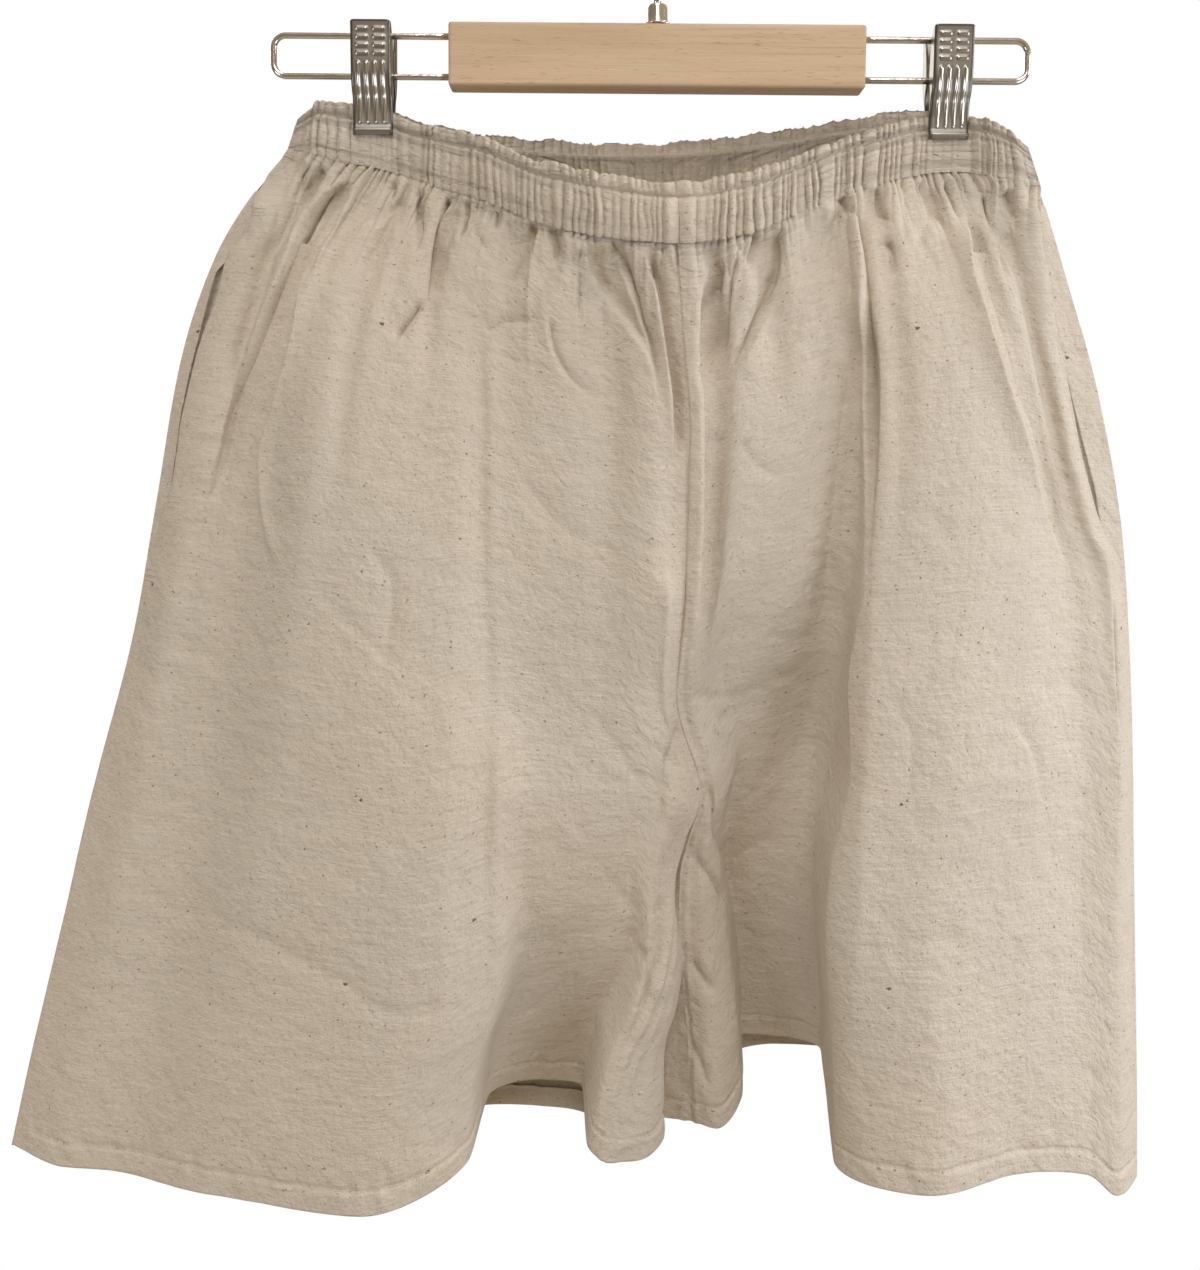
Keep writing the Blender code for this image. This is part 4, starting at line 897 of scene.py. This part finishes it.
PANELS = {}
for name in LINES:
    PANELS[name] = panel(name, *PANEL_GRIDS[name.split("_")[0]])
    print(name, "grid", PANELS[name][0].shape[:2])

# %% [markdown]
# ## Hems and turned edges
#
# A hem is the cloth folded up inside and stitched. Solidify would thicken the whole sheet, and the cloth is
# a single layer everywhere else, so the last rows are laid again in reverse, one cloth's thickness inside.
# The fronts' side edges are turned in the same way, because they show in the pockets' open slits.

# %% Each panel's mesh
CLOTH_WALL = 1.2
TURNED_COLUMNS = 12


def turned_in(name, points, out):
    """points - normal * CLOTH_WALL, in reverse order, joined on past the hem and past a front's side edge."""
    if name.startswith("front"):
        strip = slice(1, TURNED_COLUMNS)
        facing_strip = points[:, strip] - out[:, strip] * CLOTH_WALL
        edge = points[:, :1] - out[:, :1] * CLOTH_WALL * 0.5
        points = np.concatenate([facing_strip[:, ::-1], edge, points], axis=1)
        out = np.concatenate([out[:, strip][:, ::-1], out[:, :1], out], axis=1)
    heights = points[:, points.shape[1] // 2, 2]
    count = int((heights < heights[-1] + HEM_DEPTH + 1).sum())
    inside = (points - out * CLOTH_WALL)[::-1][:count]
    lip = points[-1:] - out[-1:] * CLOTH_WALL * 0.5 - np.array([0.0, 0.0, 0.5])
    return np.concatenate([points, lip, inside], axis=0)


# The cloth pieces that have been laid, by name.
LAID = {}


def lay(name, points, flip=False):
    """A cloth piece, moved to where the waist hangs, in place of the node of the same name."""
    whole = points + np.array([CLOTH_X, 0.0, 0.0])
    LAID[name] = surface(name + "_cloth", whole, LINEN, flat_map(whole), flip=flip)
    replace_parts(LAID[name], name)
    areas = np.empty(len(LAID[name].data.polygons))
    LAID[name].data.polygons.foreach_get("area", areas)
    print("  area", round(float(areas.sum()), 4), "m2")


for name, (points, out) in PANELS.items():
    half, leg = name.split("_")
    lay(name, turned_in(name, points, out), flip=(half == "front") == (leg == "right"))

# %% [markdown]
# ## The elasticated waistband
#
# The casing is one strip folded over: up the outside, over the top and down the inside. A row of stitches a
# quarter of the way down parts a small ruffled header from the channel that holds the elastic. The elastic
# shortens the strip, so the cloth stands in round ridges with sharp valleys, each a little different. The
# clips press it flat.

# %% The waistband's surface
HEADER = 0.27
CLIPS = {"left": -142.4, "right": 147.0}


def band_places():
    """Shares of the band's height, 0 at its top and 1 at its seam: up the outside, then down the inside."""
    outer = np.concatenate([np.linspace(1.03, HEADER + 0.05, 19),
                            np.linspace(HEADER + 0.03, HEADER - 0.03, 4),
                            np.linspace(HEADER - 0.06, 0.03, 8), [0.005]])
    inner = np.concatenate([[0.03, 0.10, 0.18, HEADER - 0.03, HEADER, HEADER + 0.04],
                            np.linspace(0.40, 1.0, 9)])
    return outer, inner


def waistband(half, columns=1010):
    """Depth + side * (channel's swell + ridges) in each row: up the outside, then down the inside."""
    side = -1.0 if half == "front" else 1.0
    first = 1 if half == "front" else 4
    seed = 0 if half == "front" else 1
    x = np.linspace(BAND[0, 0], BAND[-1, 0], columns)
    depth, top, seam = (band_at(x, first + k) for k in range(3))
    pressed = 1.0 - 0.80 * sum(np.exp(-((x - (centre - CLOTH_X)) / 12.0)**4) for centre in CLIPS.values())
    ends = ease((x - x[0]) / 14.0) * ease((x[-1] - x) / 14.0)
    depth = depth * ends
    outer, inner = band_places()
    rows = []
    for outside, place in [(True, place) for place in outer] + [(False, place) for place in inner]:
        ridge, _ = gather(x + 1.1 * wander(x, x * 0 + 16.0 * place, 7.0, 21) + 1.6 * (place < HEADER), seed)
        size = float(smooth((0.0, HEADER * 0.55, HEADER, 0.45, 0.75, 0.95, 1.05),
                            (1.30, 1.05, 0.25, 1.15, 1.25, 0.90, 0.8), place))
        swell = 2.2 * math.sin(math.pi * min(1.0, max(0.0, place - HEADER) / (1 - HEADER)))**0.8
        swell += 0.5 * math.sin(math.pi * min(1.0, place / HEADER)) - 1.9 * float(bell(place - HEADER, 0.030))
        stand = (0.9 if outside else -0.5) * ease(place / 0.05) + 0.15
        loose = 0.9 * wander(x, x * 0 + 90.0 * place, 12.0, 31) * max(0.0, 1 - place / HEADER)
        folds = (size * (3.2 * ridge - 2.2) + loose) * pressed * (1.0 if outside else 0.7)
        y = depth + side * ends * (swell * pressed * (1.0 if outside else 0.75) + stand + folds)
        drawn = x * (1.0 - 0.032 * (1.0 - place) * np.abs(x / x[-1])**8)
        ruffle = (0.9 * wander(x, x * 0, 5.0, 41) + 0.6 * wander(x, x * 0, 23.0, 42)) * ends
        z = top + (seam - top) * place + ruffle * ease(1 - place / HEADER)
        tug = 0.7 * float(bell(place - HEADER, 0.03)) - 1.1 * ease((place - 0.90) / 0.08)
        z = z + ridge * tug * pressed
        rows.append(np.stack([drawn, y, z], axis=1))
    return np.array(rows)


BANDS = {}
for half in ("front", "back"):
    BANDS[half] = waistband(half)
    lay("waistband_" + half, BANDS[half], flip=half == "front")
    "waistband_" + half

# %% [markdown]
# ## The pocket mouths
#
# In each open slit the back panel's own side edge shows, as a narrow strip behind the front's turned edge.
# It could be part of the back panel's grid, but its folds run the other way, so it is a small grid of its
# own, which starts on the panel's edge.

# %% The strips in the pocket mouths
def pocket_strip(leg, rows=160, columns=26):
    """From the back's side edge inward and forward by the table's width, then a step back and 7 mm more,
    under the front's edge."""
    inward = 1.0 if leg == "left" else -1.0
    table = POCKETS[leg]
    z = np.linspace(table[1, 0] + 3.0, table[-1, 0], rows)[:, None]
    points, _ = PANELS["back_" + leg]
    edge = np.interp(-z, -points[:, 0, 2], points[:, 0, 0])
    width = np.maximum(pocket_edge(np.minimum(z, table[1, 0]), leg, 2), 3.0)
    share = np.concatenate([np.linspace(0, 0.97, columns), np.linspace(1.0, 1.02, 3)])[None, :]
    place = np.concatenate([share * width, width * 1.02 + np.linspace(0.6, 7.0, 9)], axis=1)
    share = np.concatenate([share, np.full((1, 9), 1.02)], axis=1)
    ripple = 0.6 * wander(z + place * 0, place, 9.0, 61) * ease(share / 0.3)
    under = (3.4 if leg == "left" else 1.6) * ease((place - width * 0.98) / 1.4)
    return np.stack([edge + inward * place, -4.6 * share**1.15 - 0.3 + ripple + under, z + place * 0], axis=2)


for leg in ("left", "right"):
    points = pocket_strip(leg) + np.array([CLOTH_X, 0.0, 0.0])
    surface("pocket_strip_" + leg, points, LINEN, flat_map(points), flip=leg == "left")
    print("  slit", round(float(np.ptp(POCKETS[leg][:, 0]))), "mm long")

# %% [markdown]
# ## The pocket bags
#
# Each in-seam pocket has a bag of the same cloth. It runs from the mouth's front edge inward behind the
# front panel, turns, and comes back to the rear edge. A fine formula would be wasted on a hidden piece. A
# coarse net of points follows the panels, and a smooth curve each way fills it in, so the bag always lies
# beside the cloth that hides it.

# %% Pocket bags
BAG_OFF = 1.95


def pocket_bag(leg, rows=80, columns=110):
    """Net: points beside the front panel, then back round the bag's slack; smoothed down and across."""
    inward = np.array([1.0 if leg == "left" else -1.0, 0.0, 0.0])
    u = np.arange(11) / 26.0
    v = np.array([0.04, 0.08, 0.12, 0.16, 0.20, 0.279, 0.358, 0.437, 0.516])
    front, _ = panel_form("front_" + leg, u, v)
    rear, _ = panel_form("back_" + leg, u, v)
    front = (front - outward("front", front) * BAG_OFF)[1:-1]
    rear = (rear - outward("back", rear) * BAG_OFF)[1:-1]
    fill = np.array([1.0, 1.0, 1.0, 1.0, 0.9, 0.6, 0.0])[:, None]
    slack = np.concatenate([fill * 0, 3.2 + 5.8 * fill, fill * 0], axis=1)
    level = lambda points, row: np.concatenate([points[:, :2], row[:, 2:]], axis=1)
    rear_edge, rear_hip = level(rear[:, 1], front[:, 1]), level(rear[:, 3], front[:, 3])
    shut = np.array([0.0, 3.2, 0.0])
    hip = rear_hip * 0.35 + (front[:, 3] + slack) * 0.65
    net = [front[:, k] for k in range(1, 10)]
    net += [front[:, 9] + inward * 1.8 + slack / 2, front[:, 9] + slack,
            front[:, 6] + slack * (1.0 + 0.3 * fill),
            hip * fill + (front[:, 3] + shut) * (1 - fill),
            rear_edge * fill + (front[:, 1] + shut) * (1 - fill)]
    net = np.stack(net, axis=1)
    fine = smooth(np.arange(7), net, np.linspace(0, 6, rows))
    fine = smooth(np.arange(14), fine.transpose(1, 0, 2), np.linspace(0, 13, columns)).transpose(1, 0, 2)
    soft = 0.5 * wander(fine[:, :, 0] * 1.3, fine[:, :, 2], 17.0, 71) * ease(np.linspace(0, 1, columns) / 0.1)
    return fine + facing(fine) * soft[:, :, None]


for leg in ("left", "right"):
    lay("pocket_bag_" + leg, pocket_bag(leg), flip=leg == "left")
    "pocket_bag_" + leg

# %% [markdown]
# ## The sewing
#
# A lockstitch shows as short rounded lengths of thread, each dipping into the cloth at its ends. A dashed
# pattern in the cloth's finish would lie flat in it. One small capsule is worked out once instead, and set
# along every sewn line at the stitch's pitch, all in one array, so a thousand stitches cost little.

# %% Stitches
CAPSULE = np.array([(-0.95, 0.02), (-0.72, 0.22), (0.0, 0.29), (0.72, 0.22), (0.95, 0.02)])
SIDES = np.linspace(0.0, 2 * math.pi, 6, endpoint=False)


def stitches(name, lines):
    """Each line is (points, outward normals, pitch). Stitch = centre + along * x + radius * (side * cos +
    normal * sin), dipped at its ends by the square of x."""
    centres, alongs, normals = [], [], []
    for path, out, step in lines:
        run = np.concatenate([[0.0], np.linalg.norm(np.diff(path, axis=0), axis=1).cumsum()])
        at = np.arange(0.5 * step, run[-1] - 0.4 * step, step)
        read = lambda values, spots: np.stack([np.interp(spots, run, values[:, k]) for k in range(3)], axis=1)
        centres.append(read(path, at) + read(out, at) * 0.10)
        alongs.append(read(path, at + 0.9) - read(path, at - 0.9))
        normals.append(read(out, at))
    centres, alongs, normals = (np.concatenate(part) for part in (centres, alongs, normals))
    alongs = alongs / np.linalg.norm(alongs, axis=1, keepdims=True)
    sides = np.cross(normals, alongs)
    sides = sides / np.linalg.norm(sides, axis=1, keepdims=True)
    ring = (sides[:, None, None] * np.cos(SIDES)[None, None, :, None]
            + np.cross(alongs, sides)[:, None, None] * np.sin(SIDES)[None, None, :, None])
    dip = -0.25 * np.abs(CAPSULE[:, 0])**2
    points = (centres[:, None, None] + alongs[:, None, None] * CAPSULE[None, :, 0, None, None]
              + normals[:, None, None] * dip[None, :, None, None] + ring * CAPSULE[None, :, 1, None, None])
    index = np.arange(len(CAPSULE) * len(SIDES)).reshape(len(CAPSULE), len(SIDES))
    index = np.concatenate([index, index[:, :1]], axis=1)
    quads = np.stack([index[:-1, :-1], index[:-1, 1:], index[1:, 1:], index[1:, :-1]], axis=2).reshape(-1, 4)
    size = len(CAPSULE) * len(SIDES)
    faces = (quads[None] + size * np.arange(len(centres))[:, None, None]).reshape(-1, 4)
    mesh = bpy.data.meshes.new(name)
    mesh.from_pydata(((points.reshape(-1, 3) + np.array([CLOTH_X, 0, 0])) * MM).tolist(), [], faces.tolist())
    print(len(centres), "stitches")
    placed(name, mesh, THREAD.owner)


print("faces in a stitch:", (len(CAPSULE) - 1) * len(SIDES))

# %% [markdown]
# ## Where the stitches run
#
# The band is sewn below its header and along its seam, each hem once round, and both ends of each pocket
# mouth are tacked with three short close rows. Each line is read off the finished cloth, so it rides over
# every gather. A line at a set height falls between two rows of the grid, and the point between them is
# worked out for every column.

# %% The sewn lines
PITCH, TACK_PITCH = 2.7, 0.9
TACK_DROP = 30.0


def across(points, out, levels, level):
    """The line across a grid where levels, which falls from row to row, passes the given level."""
    row = np.clip((levels > level).sum(axis=0), 1, len(levels) - 1)
    column = np.arange(points.shape[1])
    upper, lower = levels[row - 1, column], levels[row, column]
    t = np.clip((upper - level) / np.maximum(upper - lower, 1e-6), 0.0, 1.0)[:, None]
    return points[row - 1, column] * (1 - t) + points[row, column] * t, out[row, column]


for half, points in BANDS.items():
    away_side = np.array([0.0, -1.0 if half == "front" else 1.0, 0.0])
    out = facing(points)
    out = out * np.sign((out[5] @ away_side).mean())
    rows = [int(np.abs(band_places()[0] - place).argmin()) for place in (HEADER, 0.985)]
    lines = [(points[row][12:-12], out[row][12:-12], PITCH) for row in rows]
    stitches("waistband_" + half + "_stitching", lines)
for name, (points, out) in PANELS.items():
    half, leg = name.split("_")
    above = points[:, :, 2] - points[-1:, :, 2]
    path, turn = across(points, out, above, HEM_DEPTH)
    lines = [(path[4:-4], turn[4:-4], PITCH)]
    if half == "front":
        for height in (POCKETS[leg][2, 0], POCKETS[leg][-3, 0], POCKETS[leg][-2, 0] - TACK_DROP):
            tack = int(np.abs(points[:, 6, 2] - height).argmin())
            for shift in (0, 1, 2):
                lines.append((points[tack - shift, 2:14], out[tack - shift, 2:14], TACK_PITCH))
    stitches(name + "_stitching", lines)

# %% [markdown]
# ## The hanger
#
# A beech bar carries two loops of plated wire. Each loop is one wire bent at its outer corners, so a round
# section is carried along its path. The bar could be a cube with a Bevel. As a grid, its section and ends
# are rounded by the same small radius: at each end the section shrinks along a quarter circle, and the long
# faces stay truly flat.

# %% Bar and wires
BAR_LENGTH, BAR_DEPTH, BAR_HEIGHT, BAR_TOP, BAR_ROUND = 208.5, 15.0, 31.0, -71.5, 1.5
WIRE_RADIUS, WIRE_TOP, WIRE_BOTTOM, CORNER = 1.6, -76.8, -96.7, 6.1
WIRE_END_LEFT, WIRE_END_RIGHT = -193.0, 187.0


def rounded_bar():
    """Rows along X. Section = core rectangle + r * (cos, sin) at its corners; r falls to 0 at the ends."""
    turn = np.radians(np.linspace(0, 90, 7))
    reach = np.concatenate([[-0.8], BAR_ROUND * np.sin(turn), [BAR_ROUND], [BAR_ROUND]])
    ends = np.concatenate([[BAR_LENGTH / 2], BAR_LENGTH / 2 - BAR_ROUND + BAR_ROUND * np.cos(turn),
                           [BAR_LENGTH / 2 - BAR_ROUND - 0.8, BAR_LENGTH / 2 - 40.0]])
    reach = np.concatenate([reach, reach[::-1]])
    stations = np.concatenate([-ends, ends[::-1]])
    corner = np.concatenate([[(1.0, -0.5)], np.stack([np.cos(turn), np.sin(turn)], axis=1), [(-0.5, 1.0)]])
    hold = np.array([(0.0, -0.5)] + [(0.0, 0.0)] * len(turn) + [(-0.5, 0.0)])
    corner = corner - hold
    half = (BAR_DEPTH / 2 - BAR_ROUND, BAR_HEIGHT / 2 - BAR_ROUND)
    section = []
    for quarter in range(4):
        c, s = round(math.cos(quarter * math.pi / 2)), round(math.sin(quarter * math.pi / 2))
        spin = np.array([(c, -s), (s, c)])
        core = spin @ np.array([half[quarter % 2], half[1 - quarter % 2]])
        section.append((core + hold @ spin.T)[None] + reach[:, None, None] * (corner @ spin.T)[None])
    section = np.concatenate(section, axis=1)
    x = np.broadcast_to(stations[:, None], section.shape[:2])
    return np.stack([x, section[:, :, 0], section[:, :, 1] + BAR_TOP - BAR_HEIGHT / 2], axis=2)


def wire(path, radius, sides=20, up=None):
    """Point = path + radius * (up * cos + side * sin), with up square to the path and to the depth axis."""
    along = np.gradient(path, axis=0)
    along = along / np.linalg.norm(along, axis=1, keepdims=True)
    up = np.cross(along, (0.0, 1.0, 0.0)) if up is None else up
    side = np.cross(along, up)
    angle = np.linspace(0.0, 2 * math.pi, sides, endpoint=False)[None, :, None]
    ring = up[:, None] * np.cos(angle) + side[:, None] * np.sin(angle)
    return path[:, None] + np.broadcast_to(radius, len(path))[:, None, None] * ring


def arc(x, z, radius, start, end, steps):
    """centre + radius * (cos, 0, sin), from one angle in degrees to another."""
    angle = np.radians(np.linspace(start, end, steps))
    return np.stack([x + radius * np.cos(angle), angle * 0.0, z + radius * np.sin(angle)], axis=1)


bar = surface("hanger_bar_wood", rounded_bar(), WOOD.owner, closed=True)
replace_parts(bar, "hanger_bar")
for leg, end_x, turn in (("left", WIRE_END_LEFT, (180, -180)), ("right", WIRE_END_RIGHT, (0, 0))):
    sign = math.copysign(1.0, end_x)
    corner_x = end_x - sign * CORNER
    start = sign * (BAR_LENGTH / 2 - 1.0)
    straight = np.linspace(start, corner_x - sign, 12)
    upper = np.stack([straight, straight * 0, straight * 0 + WIRE_TOP], axis=1)
    lower = np.stack([straight[::-1], straight * 0, straight * 0 + WIRE_BOTTOM], axis=1)
    path = np.concatenate([upper, arc(corner_x, WIRE_TOP - CORNER, CORNER, 90, turn[0], 14),
                           arc(corner_x, WIRE_BOTTOM + CORNER, CORNER, turn[1], -90, 14), lower])
    loop = surface("wire_loop_" + leg + "_wire", wire(path, WIRE_RADIUS), CHROME.owner, closed=True)
    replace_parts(loop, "wire_loop_" + leg)

# %% [markdown]
# ## The clips
#
# Each clip is two pressed plates that grip the waistband. The plate is a shallow channel. Short ribs across
# its upper part give the thumb a hold, four long ribs stiffen it, and a rolled lip holds the cloth. Loose
# bars laid on the plate would show their own edges. So one section is carried down the plate's curve, and
# the ribs lift its outside.

# %% Clip plates
CLIP_HALF, CLIP_METAL, CLIP_BEND = 10.0, 0.9, 1.3
RIB_HEIGHT, RIB_EDGE, LIP_Z = 0.75, 1.20, -124.6
PLATE = np.array([
    # z, plate depth, flange depth
    (-72.5, 12.0, 9.0), (-78.0, 11.6, 5.6), (-86.0, 11.4, 3.4), (-96.7, 11.0, 2.4),
    (-103.0, 9.4, 4.8), (-109.0, 6.4, 5.5), (-117.0, 5.35, 4.6), (-126.5, 5.3, 4.6)])


def ribs(x, z):
    """RIB_HEIGHT * ease(1 - distance / RIB_EDGE) from each bar's middle line, the highest of all bars."""
    total = np.zeros_like(x)
    bars = [(side * 4.2, row, 2.2, 0.0) for row in (-76.8, -80.7, -84.6, -88.5) for side in (-1, 1)]
    bars += [(x_rib, -106.8, 0.0, 13.4) for x_rib in (-6.1, -2.05, 2.05, 6.1)]
    for x_mid, z_mid, half_x, half_z in bars:
        gap = np.hypot(np.maximum(np.abs(x - x_mid) - half_x, 0), np.maximum(np.abs(z - z_mid) - half_z, 0))
        total = np.maximum(total, RIB_HEIGHT * ease(1.0 - gap / RIB_EDGE))
    return total


def clip_plate(centre, side):
    """A channel section carried down the plate: flange, bend, ribbed face, bend, flange, and back inside it.
    Also each point's marks: how far up a rib it stands, for a painted highlight, and how near a border it
    lies, for painted shade."""
    quarter = np.radians(np.linspace(0, 90, 5))
    z = np.concatenate([-72.5 - 0.9 * (1 - np.cos(quarter)), np.linspace(-73.6, -126.5, 96)])
    half = (CLIP_HALF - 0.9 * (1 - np.sqrt(1 - np.clip((z + 73.4) / 0.9, 0, 1)**2)))[:, None]
    plate = smooth(-PLATE[:, 0], PLATE[:, 1], -z)[:, None] + 1.5 * bell(z - LIP_Z, 1.5)[:, None]
    flange = smooth(-PLATE[:, 0], PLATE[:, 2], -z)[:, None]
    bend = np.radians(np.linspace(0, 90, 6))
    sheet_x, sheet_y, marks = [], [], []
    for step, metal in ((1, 0.0), (-1, CLIP_METAL)):
        x_face = np.linspace(-1.0, 1.0, 42) * (half - CLIP_BEND)
        rib = ribs(x_face, z[:, None] + x_face * 0) * (step > 0)
        corner_x = half - CLIP_BEND + (CLIP_BEND - metal) * np.sin(bend)
        corner_y = plate - CLIP_BEND + (CLIP_BEND - metal) * np.cos(bend)
        foot = np.minimum(flange, corner_y[:, -1:] - 0.2)
        fall = corner_y[:, -1:] + (foot - corner_y[:, -1:]) * np.linspace(0.1, 1, 8)
        wall_x = half - metal + fall * 0
        x_row = [-wall_x, -corner_x[:, ::-1], x_face[:, 1:-1], corner_x, wall_x]
        y_row = [fall[:, ::-1], corner_y[:, ::-1], (plate + rib - metal)[:, 1:-1], corner_y, fall]
        pad = np.zeros((len(z), fall.shape[1] + corner_x.shape[1]))
        # painted highlight: the ribs' height, and a band along the rolled lip
        mark = [pad, np.maximum(rib, 0.7 * bell(z - LIP_Z - 0.4, 0.5)[:, None])[:, 1:-1], pad]
        for sheet, row in ((sheet_x, x_row), (sheet_y, y_row), (marks, mark)):
            sheet.append(np.concatenate(row, axis=1)[:, ::step])
    x, y, mark = (np.concatenate(part, axis=1) for part in (sheet_x, sheet_y, marks))
    # painted shade: near the plate's bent sides and its top bend
    border = np.maximum(np.abs(x) / CLIP_HALF, ease((z[:, None] + 74.5) / 1.2) * 0.95)
    points = np.stack([centre + x, side * y, z[:, None] + x * 0], axis=2)
    return points, np.stack([mark / RIB_HEIGHT, border], axis=2)


for leg, centre in CLIPS.items():
    for half, side in (("front", -1), ("back", 1)):
        node = "clip_" + half + "_" + leg
        # marks: the UV where the steel's colour reads its painted highlight and painted shade
        points, marks = clip_plate(centre, side)
        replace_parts(surface(node + "_plate", points, PRESSED.owner, marks, closed=True), node)

# %% [markdown]
# ## The springs
#
# A coil spring round the lower wire pushes each clip's jaws together. The Screw modifier could wind it, but
# the same wire function does it from a path that is a helix, with the helix's own outward direction for its
# section.

# %% Springs
SPRING_TURNS, SPRING_LENGTH, SPRING_RADIUS, SPRING_WIRE = 11, 14.0, 3.5, 0.6
for leg, centre in CLIPS.items():
    t = np.linspace(0.0, SPRING_TURNS * 2 * math.pi, SPRING_TURNS * 20)
    out = np.stack([t * 0, np.cos(t), np.sin(t)], axis=1)
    path = out * SPRING_RADIUS + np.array([centre - SPRING_LENGTH / 2, 0.0, WIRE_BOTTOM])
    path = path + np.stack([t / t[-1] * SPRING_LENGTH, t * 0, t * 0], axis=1)
    coil = wire(path, SPRING_WIRE, 8, up=out)
    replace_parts(surface("clip_spring_" + leg + "_coil", coil, CHROME.owner, closed=True),
                "clip_spring_" + leg)

# %% [markdown]
# ## The hook
#
# The hook is a bent rod: most of a circle over the rail, then an easy curve down to the middle of the bar.
# Its tip is rounded, so the rod's radius follows a quarter circle over its first millimetres. It ends in a
# turned ferrule on a washer. Turned parts are drawn as a short profile and spun about the hook's axis, as
# they are made on a lathe.

# %% Hook, ferrule and washer
HOOK_CENTRE, HOOK_BEND, HOOK_ROD = -21.0, 22.9, 1.9
bend = arc(0.0, HOOK_CENTRE, HOOK_BEND, 205, -62, 90)
t = np.linspace(0.0, 1.0, 24)[1:]
neck = np.stack([bend[-1, 0] * (1 - ease(t)), t * 0, bend[-1, 2] + (-55.0 - bend[-1, 2]) * t], axis=1)
shank = np.stack([[0.0, 0.0], [0.0, 0.0], [-58.0, -61.5]], axis=1)
path = np.concatenate([bend, neck, shank])
run = np.concatenate([[0.0], np.linalg.norm(np.diff(path, axis=0), axis=1).cumsum()])
rod = HOOK_ROD * np.sqrt(np.clip(1 - np.clip(1 - run / HOOK_ROD, 0, 0.98)**2, 0, 1))
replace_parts(surface("hook_rod", wire(path, rod), CHROME.owner, closed=True), "hook")


def spun(name, profile):
    """Profile of (radius, height) rows spun about the hook's axis."""
    profile = np.array(profile, float)
    angle = np.linspace(0.0, 2 * math.pi, 48, endpoint=False)
    radius, height = profile[:, :1], profile[:, 1:]
    points = np.stack([radius * np.cos(angle), radius * np.sin(angle), height + angle * 0], axis=2)
    return surface(name, points, CHROME.owner, closed=True)


FERRULE = [(0.6, -60.7), (3.6, -60.7), (4.3, -60.8), (4.8, -61.2), (5.1, -61.9), (5.2, -62.8), (5.25, -67.0),
           (5.3, -68.2), (5.5, -69.0), (5.65, -69.4), (5.65, -69.68), (5.4, -69.7), (0.6, -69.7)]
WASHER = [(0.6, -70.0), (6.2, -70.0), (6.8, -70.1), (7.1, -70.35), (7.2, -70.6), (7.1, -70.95), (6.8, -71.15),
          (6.2, -71.2), (0.6, -71.2)]
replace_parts(spun("hook_ferrule_turned", FERRULE), "hook_ferrule")
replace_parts(spun("hook_washer_pressed", WASHER), "hook_washer")

# %% [markdown]
# ## The cloth pieces
#
# Cloth doesn't stretch much, so a piece that hangs in folds has to have come from a flat piece of about the
# same area. Each piece's area is printed as it is laid, and this cell counts the pieces.

# %% Cloth facts
print("cloth pieces:", len(LAID))

# %% [markdown]
# ## Finish
#
# The last cell counts the triangles.

# %% End
meshes = [obj.data for obj in bpy.data.objects if obj.type == "MESH"]
print("triangles in all:", sum(len(face.vertices) - 2 for mesh in meshes for face in mesh.polygons))
